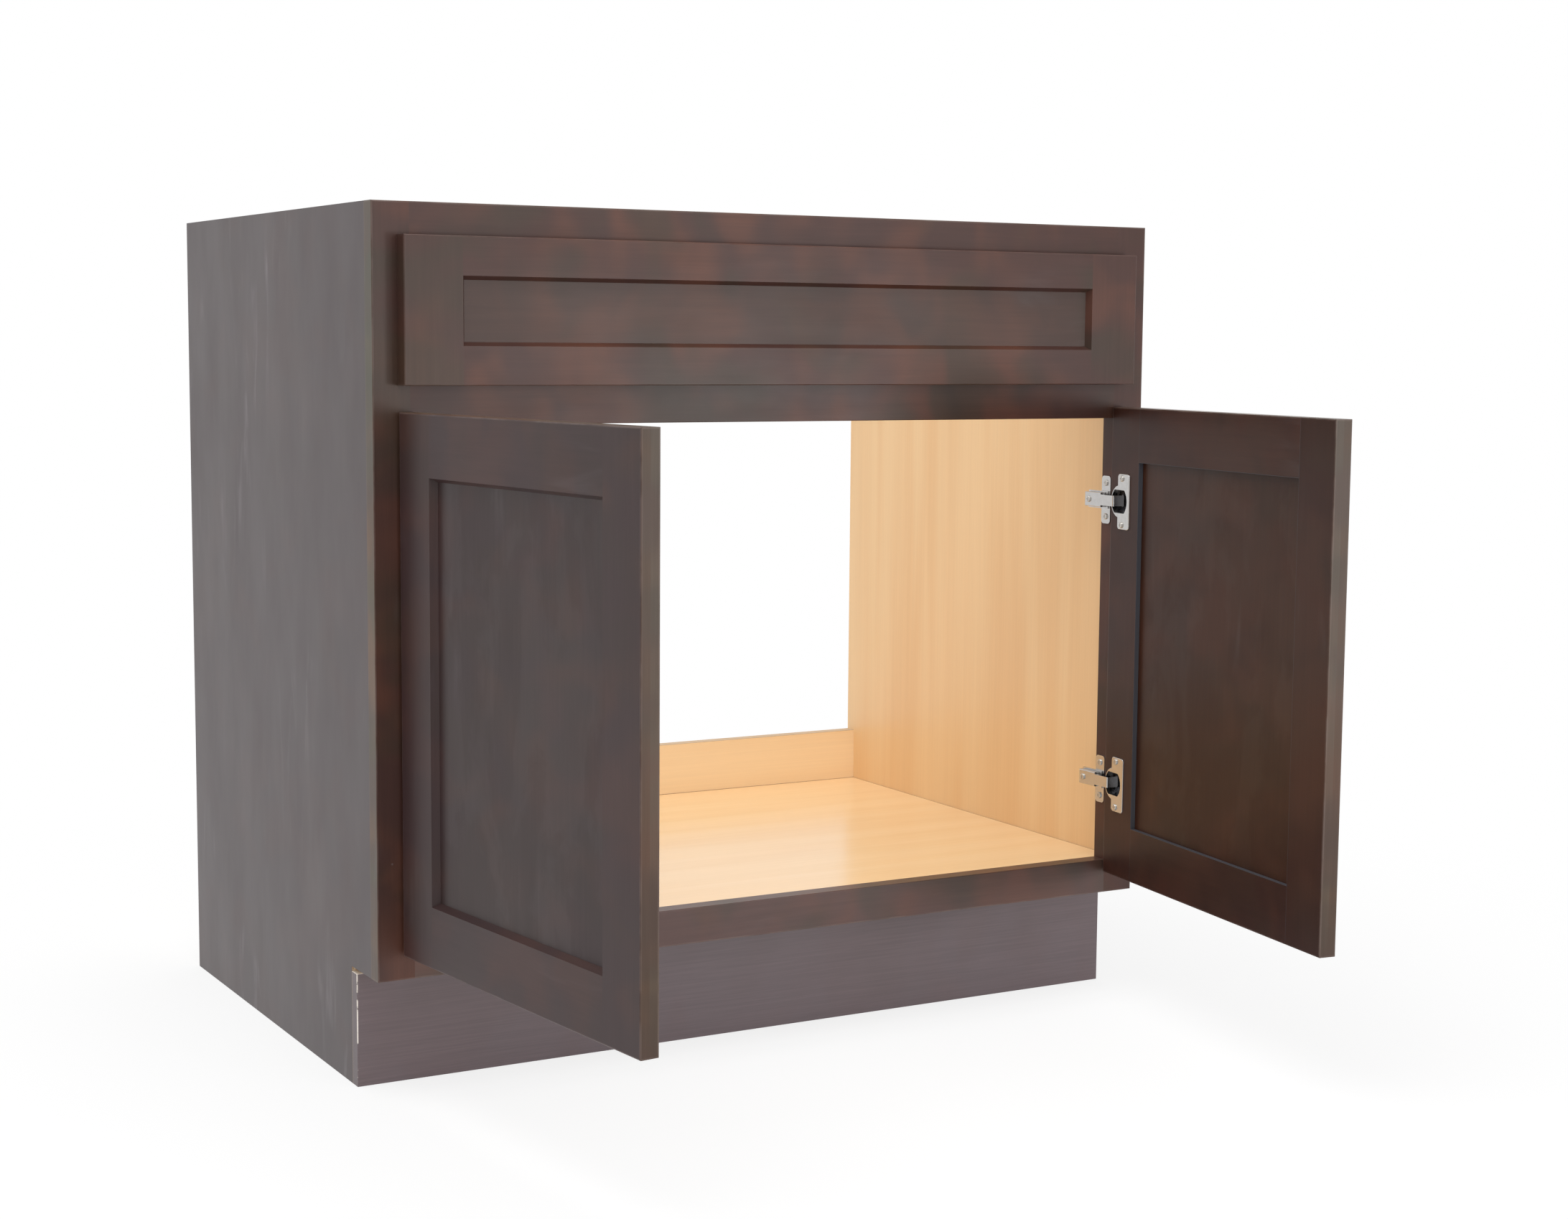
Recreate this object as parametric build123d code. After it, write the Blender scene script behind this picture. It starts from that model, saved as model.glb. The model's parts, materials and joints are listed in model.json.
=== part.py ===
from build123d import *
import os

# Vanity base cabinet: an open-backed plywood box behind a hardwood face frame, with a fixed false
# drawer front over two shaker doors that swing on concealed cup hinges. Millimetres, X to the right,
# Y from the front to the wall, Z up. The origin is on the floor, under the middle of the toe-kick board.

# Cabinet box
CABINET_WIDTH = 914.4
CABINET_HEIGHT = 876.3
CABINET_DEPTH = 609.6
SIDE_THICKNESS = 16.0
FLOOR_THICKNESS = 12.7
BACK_RAIL_THICKNESS = 16.0
BACK_LIP_HEIGHT = 65.0
BACK_LIP_SKIRT = 30.0
BACK_TOP_RAIL_HEIGHT = 76.0
DADO_DEPTH = 6.0
JOINT_CLEARANCE = 0.1

# Toe space
TOE_HEIGHT = 120.65
TOE_SETBACK = 61.0
TOE_BOARD_THICKNESS = 14.0
TOE_BOARD_HEIGHT = 115.5

# Corner blocks that carry the worktop screws
BLOCK_LEG = 90.0
BLOCK_THICKNESS = 16.0
BLOCK_HOLE_RADIUS = 3.0
BLOCK_HOLE_INSET = 30.0

# Face frame
FRAME_THICKNESS = 19.05
STILE_WIDTH = 38.1
TOP_RAIL_HEIGHT = 44.5
MID_RAIL_HEIGHT = 50.8
BOTTOM_RAIL_HEIGHT = 38.1
FALSE_OPENING_HEIGHT = 117.6
FRAME_EASE = 0.8
DOWEL_RADIUS = 4.0
DOWEL_IN_STILE = 20.0
DOWEL_IN_RAIL = 24.0
DOWEL_END_GAP = 0.5
DOWEL_CLEARANCE = 0.05

# Doors and false front
OVERLAY = 12.7
CENTRE_GAP = 3.0
DOOR_GAP = 3.0
FRONT_THICKNESS = 19.05
FRONT_STILE_WIDTH = 60.0
DOOR_RAIL_HEIGHT = 60.0
FALSE_RAIL_HEIGHT = 38.0
BEVEL_RUN = 3.8
BEVEL_DEPTH = 7.5
PANEL_THICKNESS = 6.0
PANEL_CLEARANCE = 0.1
GROOVE_DEPTH = 8.0
PANEL_FLOAT = 1.0
TENON_END_GAP = 0.5
EDGE_EASE = 1.2
BACK_EDGE_EASE = 0.6
LEFT_DOOR_OPEN = 83.8
RIGHT_DOOR_OPEN = 82.7

# False-front cleats and screws
CLEAT_WIDTH = 47.0
CLEAT_SCREW_INSET = 30.0
CLEAT_SCREW_BITE = 13.0
CLEAT_SCREW_RADIUS = 2.1
CLEAT_SCREW_HEAD_RADIUS = 4.2

# Cup hinges
HINGE_INSET = 105.0
PIN_SETBACK = 8.0
PIN_DEPTH = 10.5
PIN_RADIUS = 1.25
PIN_RUNNING_CLEARANCE = 0.05
PIN_HALF_LENGTH = 9.0
CUP_RADIUS = 17.5
CUP_DEPTH = 13.6
CUP_WALL = 0.8
CUP_TAB = 3.0
CUP_RIM = 0.7
CUP_CHEEK_GAP = 0.5
CUP_CHEEK_REACH = 3.0
FLANGE_THICKNESS = 1.3
FLANGE_HALF_HEIGHT = 31.0
FLANGE_START = 17.0
FLANGE_END = 42.0
FLANGE_CORNER = 4.0
FLANGE_EDGE = 0.6
MOUTH_HALF_HEIGHT = 13.0
CUP_SCREW_HALF_SPACING = 26.0
CUP_SCREW_OFFSET = 5.5
CUP_SCREW_RADIUS = 1.75
CUP_SCREW_LENGTH = 13.0
SCREW_HEAD_RADIUS = 3.4
SCREW_HEAD_HEIGHT = 1.6
SCREW_HEAD_EDGE = 0.7
SCREW_POINT_LENGTH = 2.8
SCREW_TIP_RADIUS = 0.3
SCREW_SLOT_LENGTH = 4.4
SCREW_SLOT_WIDTH = 0.7
SCREW_SLOT_DEPTH = 0.8
SCREW_CLEARANCE = 0.05
ARM_WIDTH = 12.0
ARM_THICKNESS = 1.6
ARM_EYE_WALL = 0.75
ARM_OFFSET = 13.25
ARM_REACH = 37.0
ARM_HEAD_WIDTH = 16.4
ARM_HEAD_LENGTH = 29.0
ARM_HEAD_BEND = 1.0
ARM_LIP_WIDTH = 1.5
ARM_LIP_HEIGHT = 4.6
BASE_PLATE_THICKNESS = 1.5
BASE_PLATE_HALF_HEIGHT = 27.0
BASE_PLATE_DEPTH = 16.0
BASE_EDGE_GAP = 1.5
BASE_BRIDGE_THICKNESS = 2.0
BASE_HALF_HEIGHT = 9.8
BASE_SETBACK = 3.0
BASE_REACH = 39.0
BASE_CHANNEL_CLEARANCE = 0.4
BASE_SCREW_HALF_SPACING = 19.0
BASE_SCREW_RADIUS = 1.9
BASE_SCREW_LENGTH = 16.0
ADJUSTER_RADIUS = 1.9
ADJUSTER_INSET = 7.0

# Planes and lines that the pieces share
HALF_WIDTH = CABINET_WIDTH / 2
SIDE_INNER = HALF_WIDTH - SIDE_THICKNESS
OPENING_HALF = HALF_WIDTH - STILE_WIDTH
TOE_FACE = -TOE_BOARD_THICKNESS / 2
TOE_BACK = TOE_BOARD_THICKNESS / 2
FRAME_FRONT = TOE_FACE - TOE_SETBACK
FRAME_BACK = FRAME_FRONT + FRAME_THICKNESS
CABINET_BACK = FRAME_FRONT + CABINET_DEPTH
BACK_RAIL_FRONT = CABINET_BACK - BACK_RAIL_THICKNESS
FLOOR_TOP = TOE_HEIGHT + BOTTOM_RAIL_HEIGHT
FLOOR_BOTTOM = FLOOR_TOP - FLOOR_THICKNESS
TOP_RAIL_BOTTOM = CABINET_HEIGHT - TOP_RAIL_HEIGHT
MID_RAIL_TOP = TOP_RAIL_BOTTOM - FALSE_OPENING_HEIGHT
MID_RAIL_BOTTOM = MID_RAIL_TOP - MID_RAIL_HEIGHT
DOOR_BOTTOM = FLOOR_TOP - OVERLAY
DOOR_TOP = MID_RAIL_BOTTOM + OVERLAY
DOOR_HEIGHT = DOOR_TOP - DOOR_BOTTOM
FRONT_HALF = OPENING_HALF + OVERLAY
DOOR_WIDTH = FRONT_HALF - CENTRE_GAP / 2
DOOR_BACK = FRAME_FRONT - DOOR_GAP
DOOR_FACE = DOOR_BACK - FRONT_THICKNESS
FALSE_BOTTOM = MID_RAIL_TOP - OVERLAY
FALSE_HEIGHT = FALSE_OPENING_HEIGHT + 2 * OVERLAY
FALSE_FACE = FRAME_FRONT - FRONT_THICKNESS
PIN_X = -FRONT_HALF + PIN_SETBACK
PIN_Y = DOOR_BACK - PIN_DEPTH
HINGE_HEIGHTS = {"upper": DOOR_TOP - HINGE_INSET, "lower": DOOR_BOTTOM + HINGE_INSET}

# The same lines seen from a hinge pin: X to the free edge of the closed door, Y to the cabinet
CUP_CENTRE = CUP_TAB + CUP_RADIUS - PIN_SETBACK
CUP_FLOOR = PIN_DEPTH - CUP_DEPTH
CUP_SCREW_X = CUP_CENTRE + CUP_SCREW_OFFSET
FRAME_LINE = PIN_DEPTH + DOOR_GAP
STILE_LINE = OVERLAY - PIN_SETBACK
PLATE_FRONT = FRAME_LINE + BASE_EDGE_GAP
PLATE_BACK = PLATE_FRONT + BASE_PLATE_DEPTH
PLATE_TOP = STILE_LINE + BASE_PLATE_THICKNESS
BASE_BACK = FRAME_LINE + BASE_REACH
BASE_SCREW_Y = (PLATE_FRONT + PLATE_BACK) / 2
ADJUSTER_Y = FRAME_LINE + ARM_REACH - ADJUSTER_INSET

pieces = {}


def block(x, y, z):
    """A plain board between a low and a high value on each axis."""
    size = [high - low for low, high in (x, y, z)]
    middle = [(high + low) / 2 for low, high in (x, y, z)]
    return Pos(*middle) * Box(*size)


def rod_x(radius, x, y, z):
    """A round bar along X between two X values."""
    start, end = x
    return Pos((start + end) / 2, y, z) * Rot(0, 90, 0) * Cylinder(radius, end - start)


def rod_y(radius, x, y, z):
    """A round bar along Y between two Y values."""
    start, end = y
    return Pos(x, (start + end) / 2, z) * Rot(90, 0, 0) * Cylinder(radius, end - start)


def rod_z(radius, x, y, z):
    """A round bar along Z between two Z values."""
    start, end = z
    return Pos(x, y, (start + end) / 2) * Cylinder(radius, end - start)


def mirrored(shape):
    """The same piece on the other side of the cabinet's middle."""
    return mirror(shape, about=Plane.YZ)


def group(shapes):
    """Separate like solids kept together as one node."""
    return Compound([solid for shape in shapes for solid in shape.solids()])


def screw(radius, length, head_radius):
    """Pan-head screw with a cross slot, head up, the seat of the head on Z = 0."""
    head = rod_z(head_radius, 0, 0, (0, SCREW_HEAD_HEIGHT))
    head = fillet(head.edges().sort_by(Axis.Z)[-1:], SCREW_HEAD_EDGE)
    shank = rod_z(radius, 0, 0, (SCREW_POINT_LENGTH - length, 0))
    tip = Pos(0, 0, SCREW_POINT_LENGTH / 2 - length) * Cone(SCREW_TIP_RADIUS, radius, SCREW_POINT_LENGTH)
    for turn in (0, 90):
        slot = Box(SCREW_SLOT_LENGTH, SCREW_SLOT_WIDTH, 2 * SCREW_SLOT_DEPTH)
        head -= Pos(0, 0, SCREW_HEAD_HEIGHT) * Rot(0, 0, turn) * slot
    return head + shank + tip


# Cabinet box
def side_panel():
    """Left side: full height, notched over the toe space, with a dado for the floor."""
    panel = block((-HALF_WIDTH, -SIDE_INNER), (FRAME_BACK, CABINET_BACK), (0, CABINET_HEIGHT))
    notch = block((-HALF_WIDTH, -SIDE_INNER), (FRAME_BACK, TOE_BACK), (0, TOE_HEIGHT))
    dado = block(
        (-SIDE_INNER - DADO_DEPTH, -SIDE_INNER),
        (FRAME_BACK, BACK_RAIL_FRONT),
        (FLOOR_BOTTOM - JOINT_CLEARANCE, FLOOR_TOP),
    )
    return panel - notch - dado


pieces["left_side_panel"] = side_panel()
pieces["right_side_panel"] = mirrored(side_panel())
floor_half = SIDE_INNER + DADO_DEPTH - JOINT_CLEARANCE
pieces["floor_panel"] = block(
    (-floor_half, floor_half), (FRAME_BACK, BACK_RAIL_FRONT), (FLOOR_BOTTOM, FLOOR_TOP)
)
back_y = (BACK_RAIL_FRONT, CABINET_BACK)
between_sides = (-SIDE_INNER, SIDE_INNER)
pieces["back_bottom_rail"] = block(
    between_sides, back_y, (FLOOR_TOP - BACK_LIP_SKIRT, FLOOR_TOP + BACK_LIP_HEIGHT)
)
pieces["back_top_rail"] = block(
    between_sides, back_y, (CABINET_HEIGHT - BACK_TOP_RAIL_HEIGHT, CABINET_HEIGHT)
)
pieces["toe_kick_board"] = block(
    (-HALF_WIDTH, HALF_WIDTH), (TOE_FACE, TOE_BACK), (0, TOE_BOARD_HEIGHT)
)


def corner_block(corner_y, inward):
    """Left corner block: a triangle in the corner, drilled for a worktop screw."""
    outline = Polyline(
        (-SIDE_INNER, corner_y),
        (-SIDE_INNER + BLOCK_LEG, corner_y),
        (-SIDE_INNER, corner_y + inward * BLOCK_LEG),
        close=True,
    )
    top = Pos(0, 0, CABINET_HEIGHT - BLOCK_THICKNESS) * make_face(outline)
    solid = extrude(top, amount=BLOCK_THICKNESS, dir=(0, 0, 1))
    hole = rod_z(
        BLOCK_HOLE_RADIUS,
        -SIDE_INNER + BLOCK_HOLE_INSET,
        corner_y + inward * BLOCK_HOLE_INSET,
        (CABINET_HEIGHT - BLOCK_THICKNESS, CABINET_HEIGHT),
    )
    return solid - hole


for place, corner_y, inward in (("front", FRAME_BACK, 1), ("back", BACK_RAIL_FRONT, -1)):
    pieces[f"corner_block_{place}_left"] = corner_block(corner_y, inward)
    pieces[f"corner_block_{place}_right"] = mirrored(corner_block(corner_y, inward))


# Face frame: rails between two stiles, joined by hidden dowels
frame_y = (FRAME_FRONT, FRAME_BACK)
dowel_y = (FRAME_FRONT + FRAME_BACK) / 2
rail_spans = {
    "top": (TOP_RAIL_BOTTOM, CABINET_HEIGHT),
    "mid": (MID_RAIL_BOTTOM, MID_RAIL_TOP),
    "bottom": (TOE_HEIGHT, FLOOR_TOP),
}
free_rail_edges = {
    "top": [CABINET_HEIGHT],
    "mid": [MID_RAIL_BOTTOM],
    "bottom": [TOE_HEIGHT, FLOOR_TOP],
}
dowels = []
frame_stile = block((-HALF_WIDTH, -OPENING_HALF), frame_y, (TOE_HEIGHT, CABINET_HEIGHT))
stile_front = frame_stile.faces().sort_by(Axis.Y)[0]
frame_stile = fillet(stile_front.edges() - stile_front.edges().sort_by(Axis.X)[-1:], FRAME_EASE)
for rail_name, (rail_bottom, rail_top) in rail_spans.items():
    rail = block((-OPENING_HALF, OPENING_HALF), frame_y, (rail_bottom, rail_top))
    rail_edges = rail.faces().sort_by(Axis.Y)[0].edges().filter_by(Axis.X)
    for edge_z in free_rail_edges[rail_name]:
        free_edge = min(rail_edges, key=lambda edge: abs(edge.center().Z - edge_z))
        rail = fillet(free_edge, FRAME_EASE)
        rail_edges = rail.faces().sort_by(Axis.Y)[0].edges().filter_by(Axis.X)
    quarter = (rail_top - rail_bottom) / 4
    for dowel_z in (rail_bottom + quarter, rail_top - quarter):
        dowel_x = (-OPENING_HALF - DOWEL_IN_STILE, -OPENING_HALF + DOWEL_IN_RAIL)
        hole_x = (dowel_x[0] - DOWEL_END_GAP, dowel_x[1] + DOWEL_END_GAP)
        dowel = rod_x(DOWEL_RADIUS, dowel_x, dowel_y, dowel_z)
        hole = rod_x(DOWEL_RADIUS + DOWEL_CLEARANCE, hole_x, dowel_y, dowel_z)
        dowels += [dowel, mirrored(dowel)]
        frame_stile -= hole
        rail -= hole
        rail -= mirrored(hole)
    pieces[f"face_frame_{rail_name}_rail"] = rail


# Shaker fronts: grooved and bevelled frames, stub tenons, floating flat panels
def eased(piece, is_outer):
    """Soften the outer edges of the front face, on Y = 0, and of the back face."""
    for face_index, radius in ((0, EDGE_EASE), (-1, BACK_EDGE_EASE)):
        face = piece.faces().sort_by(Axis.Y)[face_index]
        piece = fillet([edge for edge in face.edges() if is_outer(edge.center())], radius)
    return piece


def frame_section(width):
    """Section of a stile or rail: width from the outer edge, then depth from the front face."""
    groove_back = BEVEL_DEPTH + PANEL_THICKNESS + 2 * PANEL_CLEARANCE
    groove_floor = width - GROOVE_DEPTH
    return [
        (0, 0),
        (width, 0),
        (width + BEVEL_RUN, BEVEL_DEPTH),
        (groove_floor, BEVEL_DEPTH),
        (groove_floor, groove_back),
        (width, groove_back),
        (width, FRONT_THICKNESS),
        (0, FRONT_THICKNESS),
    ]


def shaker_front(width, height, rail_height):
    """Five pieces with the lower left corner of the front face at the origin and the back on +Y."""
    across = Plane.YZ.offset(width / 2)
    halfway = Plane.XY.offset(height / 2)
    stile_face = make_face(Polyline(*frame_section(FRONT_STILE_WIDTH), close=True))
    stile = extrude(stile_face, amount=height, dir=(0, 0, 1))
    rail_start = FRONT_STILE_WIDTH - GROOVE_DEPTH + TENON_END_GAP
    rail_points = [(rail_start, depth, rise) for rise, depth in frame_section(rail_height)]
    rail_face = make_face(Polyline(*rail_points, close=True))
    rail = extrude(rail_face, amount=width - 2 * rail_start, dir=(1, 0, 0))
    rail = rail - stile - mirror(stile, about=across)
    rail = eased(rail, lambda at: at.Z < EDGE_EASE)
    top_line = height - EDGE_EASE
    stile = eased(stile, lambda at: at.X < EDGE_EASE or at.Z < EDGE_EASE or at.Z > top_line)
    side = FRONT_STILE_WIDTH - GROOVE_DEPTH + PANEL_FLOAT
    end = rail_height - GROOVE_DEPTH + PANEL_FLOAT
    panel_y = BEVEL_DEPTH + PANEL_CLEARANCE
    panel = block((side, width - side), (panel_y, panel_y + PANEL_THICKNESS), (end, height - end))
    return {
        "left_stile": stile,
        "right_stile": mirror(stile, about=across),
        "bottom_rail": rail,
        "top_rail": mirror(rail, about=halfway),
        "panel": panel,
    }


false_pieces = shaker_front(2 * FRONT_HALF, FALSE_HEIGHT, FALSE_RAIL_HEIGHT)
false_place = Pos(-FRONT_HALF, FALSE_FACE, FALSE_BOTTOM)
false_left_stile = false_place * false_pieces["left_stile"]
for name in ("top_rail", "bottom_rail", "panel"):
    pieces[f"false_front_{name}"] = false_place * false_pieces[name]

# Cleats stand in the false opening, and the false front is screwed on through them from inside
cleat = block(
    (-OPENING_HALF, -OPENING_HALF + CLEAT_WIDTH), frame_y, (MID_RAIL_TOP, TOP_RAIL_BOTTOM)
)
cleat_screw_x = -OPENING_HALF + CLEAT_WIDTH / 2
cleat_screw_length = FRAME_THICKNESS + CLEAT_SCREW_BITE
cleat_screws = []
for screw_z in (MID_RAIL_TOP + CLEAT_SCREW_INSET, TOP_RAIL_BOTTOM - CLEAT_SCREW_INSET):
    cleat_screw = screw(CLEAT_SCREW_RADIUS, cleat_screw_length, CLEAT_SCREW_HEAD_RADIUS)
    cleat_screw = Pos(cleat_screw_x, FRAME_BACK, screw_z) * Rot(-90, 0, 0) * cleat_screw
    cleat_screws += [cleat_screw, mirrored(cleat_screw)]
    hole_y = (FRAME_BACK - cleat_screw_length - SCREW_CLEARANCE, FRAME_BACK)
    hole = rod_y(CLEAT_SCREW_RADIUS + SCREW_CLEARANCE, cleat_screw_x, hole_y, screw_z)
    cleat -= hole
    false_left_stile -= hole
pieces["false_front_left_stile"] = false_left_stile
pieces["false_front_right_stile"] = mirrored(false_left_stile)
pieces["false_front_left_cleat"] = cleat
pieces["false_front_right_cleat"] = mirrored(cleat)
pieces["false_front_screws"] = group(cleat_screws)


# Cup hinge, about its pin
def hinge_cup():
    """Pressed steel cup sunk in the door, with its screw flange and the cheeks that hold the pin."""
    inner = CUP_RADIUS - CUP_WALL
    seat = PIN_DEPTH + FLANGE_THICKNESS
    cup = rod_y(CUP_RADIUS, CUP_CENTRE, (CUP_FLOOR, PIN_DEPTH), 0)
    hollow = rod_y(inner, CUP_CENTRE, (CUP_FLOOR + CUP_WALL, seat), 0)
    mouth_x = (CUP_CENTRE - inner, CUP_CENTRE + inner)
    mouth = hollow & block(mouth_x, (PIN_DEPTH, seat), (-MOUTH_HALF_HEIGHT, MOUTH_HALF_HEIGHT))
    flange = block(
        (FLANGE_START - PIN_SETBACK, FLANGE_END - PIN_SETBACK),
        (PIN_DEPTH, seat),
        (-FLANGE_HALF_HEIGHT, FLANGE_HALF_HEIGHT),
    )
    flange = fillet(flange.edges().filter_by(Axis.Y), FLANGE_CORNER)
    flange += rod_y(CUP_RADIUS + CUP_RIM, CUP_CENTRE, (PIN_DEPTH, seat), 0)
    flange = fillet(flange.faces().sort_by(Axis.Y)[-1].outer_wire().edges(), FLANGE_EDGE)
    for screw_z in (-CUP_SCREW_HALF_SPACING, CUP_SCREW_HALF_SPACING):
        flange -= rod_y(CUP_SCREW_RADIUS + SCREW_CLEARANCE, CUP_SCREW_X, (PIN_DEPTH, seat), screw_z)
    cup = (cup - hollow) + (flange - mouth)
    cheek_start = ARM_WIDTH / 2 + CUP_CHEEK_GAP
    for side in (-1, 1):
        cheek_z = sorted((side * cheek_start, side * CUP_RADIUS))
        cheek = block((-CUP_CHEEK_REACH, CUP_CHEEK_REACH), (CUP_FLOOR, CUP_CHEEK_REACH), cheek_z)
        cup += cheek & rod_y(inner + CUP_WALL / 2, CUP_CENTRE, (CUP_FLOOR, PIN_DEPTH), 0)
    return cup - rod_z(PIN_RADIUS, 0, 0, (-PIN_HALF_LENGTH, PIN_HALF_LENGTH))


def hinge_arm():
    """Cranked arm: an eye on the pin, a hook out of the cup and a channelled head over the base."""
    half = ARM_WIDTH / 2
    head_half = ARM_HEAD_WIDTH / 2
    arm_z = (-half, half)
    arm_end = FRAME_LINE + ARM_REACH
    head_y = (arm_end - ARM_HEAD_LENGTH, arm_end)
    eye_radius = PIN_RADIUS + ARM_EYE_WALL
    web_x = (ARM_OFFSET, ARM_OFFSET + ARM_THICKNESS)
    hook = block((0, web_x[1]), (-eye_radius, ARM_THICKNESS - eye_radius), arm_z)
    web = block(web_x, (-eye_radius, arm_end), arm_z)
    arm = hook + web
    bend = max(arm.edges().filter_by(Axis.Z), key=lambda edge: edge.center().X - edge.center().Y)
    arm = fillet(bend, ARM_THICKNESS)
    arm += rod_z(eye_radius, 0, 0, arm_z)
    head = block((ARM_OFFSET - ARM_LIP_HEIGHT, web_x[1]), head_y, (-head_half, head_half))
    head = fillet(head.edges().filter_by(Axis.Y).group_by(Axis.X)[-1], ARM_HEAD_BEND)
    channel_half = head_half - ARM_LIP_WIDTH
    head -= block((ARM_OFFSET - ARM_LIP_HEIGHT, ARM_OFFSET), head_y, (-channel_half, channel_half))
    arm += head
    arm -= rod_x(ADJUSTER_RADIUS + SCREW_CLEARANCE, web_x, ADJUSTER_Y, 0)
    return arm - rod_z(PIN_RADIUS + PIN_RUNNING_CLEARANCE, 0, 0, arm_z)


def hinge_base():
    """Mounting base: a plate on the stile's edge, a bridge and a tongue that seats the arm."""
    tongue_half = ARM_HEAD_WIDTH / 2 - ARM_LIP_WIDTH - BASE_CHANNEL_CLEARANCE
    bridge_top = PLATE_TOP + BASE_BRIDGE_THICKNESS
    block_front = FRAME_LINE + BASE_SETBACK
    base = block(
        (STILE_LINE, PLATE_TOP),
        (PLATE_FRONT, PLATE_BACK),
        (-BASE_PLATE_HALF_HEIGHT, BASE_PLATE_HALF_HEIGHT),
    )
    base = fillet(base.edges().filter_by(Axis.X), FLANGE_CORNER)
    base += block((PLATE_TOP, bridge_top), (block_front, BASE_BACK), (-BASE_HALF_HEIGHT, BASE_HALF_HEIGHT))
    base += block((bridge_top, ARM_OFFSET), (block_front, BASE_BACK), (-tongue_half, tongue_half))
    for screw_z in (-BASE_SCREW_HALF_SPACING, BASE_SCREW_HALF_SPACING):
        base -= rod_x(BASE_SCREW_RADIUS + SCREW_CLEARANCE, (STILE_LINE, PLATE_TOP), BASE_SCREW_Y, screw_z)
    return base - rod_x(ADJUSTER_RADIUS + SCREW_CLEARANCE, (PLATE_TOP, ARM_OFFSET), ADJUSTER_Y, 0)


def hinge_screws():
    """Screws of one hinge: into the door, into the stile, and the arm's adjuster."""
    seat = PIN_DEPTH + FLANGE_THICKNESS
    web_top = ARM_OFFSET + ARM_THICKNESS
    cup_screw = screw(CUP_SCREW_RADIUS, CUP_SCREW_LENGTH, SCREW_HEAD_RADIUS)
    base_screw = screw(BASE_SCREW_RADIUS, BASE_SCREW_LENGTH, SCREW_HEAD_RADIUS)
    adjuster = screw(ADJUSTER_RADIUS, web_top - PLATE_TOP, SCREW_HEAD_RADIUS)
    into_door = Rot(-90, 0, 0) * cup_screw
    into_stile = Rot(0, 90, 0) * base_screw
    both_ends = (-1, 1)
    return {
        "cup": [Pos(CUP_SCREW_X, seat, end * CUP_SCREW_HALF_SPACING) * into_door for end in both_ends],
        "base": [
            Pos(PLATE_TOP, BASE_SCREW_Y, end * BASE_SCREW_HALF_SPACING) * into_stile for end in both_ends
        ],
        "adjusting": [Pos(web_top, ADJUSTER_Y, 0) * Rot(0, 90, 0) * adjuster],
    }


def hinge_bores():
    """What a hinge needs cut in its door: the cup's pocket and two pilot holes."""
    pocket = rod_y(CUP_RADIUS + SCREW_CLEARANCE, CUP_CENTRE, (CUP_FLOOR, PIN_DEPTH), 0)
    pilot_end = PIN_DEPTH + FLANGE_THICKNESS - CUP_SCREW_LENGTH - SCREW_CLEARANCE
    for end in (-CUP_SCREW_HALF_SPACING, CUP_SCREW_HALF_SPACING):
        pocket += rod_y(CUP_SCREW_RADIUS + SCREW_CLEARANCE, CUP_SCREW_X, (pilot_end, PIN_DEPTH), end)
    return pocket


def stile_pilots():
    """Pilot holes for the base screws in the face frame's stile."""
    pilot_x = (PLATE_TOP - BASE_SCREW_LENGTH - SCREW_CLEARANCE, STILE_LINE)
    radius = BASE_SCREW_RADIUS + SCREW_CLEARANCE
    ends = (-BASE_SCREW_HALF_SPACING, BASE_SCREW_HALF_SPACING)
    return [rod_x(radius, pilot_x, BASE_SCREW_Y, end) for end in ends]


# One closed left door with its hinges, the source of both doors
door_pieces = shaker_front(DOOR_WIDTH, DOOR_HEIGHT, DOOR_RAIL_HEIGHT)
door_place = Pos(-FRONT_HALF, DOOR_FACE, DOOR_BOTTOM)
door = {
    "hinge_stile": door_place * door_pieces["left_stile"],
    "free_stile": door_place * door_pieces["right_stile"],
    "top_rail": door_place * door_pieces["top_rail"],
    "bottom_rail": door_place * door_pieces["bottom_rail"],
    "panel": door_place * door_pieces["panel"],
}
pin_z = (-PIN_HALF_LENGTH, PIN_HALF_LENGTH)
door_hardware = {}
door_cup_screws = []
frame_hardware = {}
base_screws = []
adjusting_screws = []
for level, height in HINGE_HEIGHTS.items():
    at_pin = Pos(PIN_X, PIN_Y, height)
    screws = hinge_screws()
    door["hinge_stile"] -= at_pin * hinge_bores()
    for pilot in stile_pilots():
        frame_stile -= at_pin * pilot
    door_hardware[f"{level}_hinge_cup"] = at_pin * hinge_cup()
    door_hardware[f"{level}_hinge_pin"] = at_pin * rod_z(PIN_RADIUS, 0, 0, pin_z)
    frame_hardware[f"{level}_hinge_arm"] = at_pin * hinge_arm()
    frame_hardware[f"{level}_hinge_base"] = at_pin * hinge_base()
    door_cup_screws += [at_pin * fastener for fastener in screws["cup"]]
    base_screws += [at_pin * fastener for fastener in screws["base"]]
    adjusting_screws += [at_pin * fastener for fastener in screws["adjusting"]]

pieces["face_frame_left_stile"] = frame_stile
pieces["face_frame_right_stile"] = mirrored(frame_stile)
pieces["face_frame_dowels"] = group(dowels)
for name, piece in frame_hardware.items():
    pieces[f"left_{name}"] = piece
    pieces[f"right_{name}"] = mirrored(piece)
pieces["hinge_base_screws"] = group(base_screws + [mirrored(piece) for piece in base_screws])
pieces["hinge_adjusting_screws"] = group(adjusting_screws + [mirrored(piece) for piece in adjusting_screws])

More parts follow.
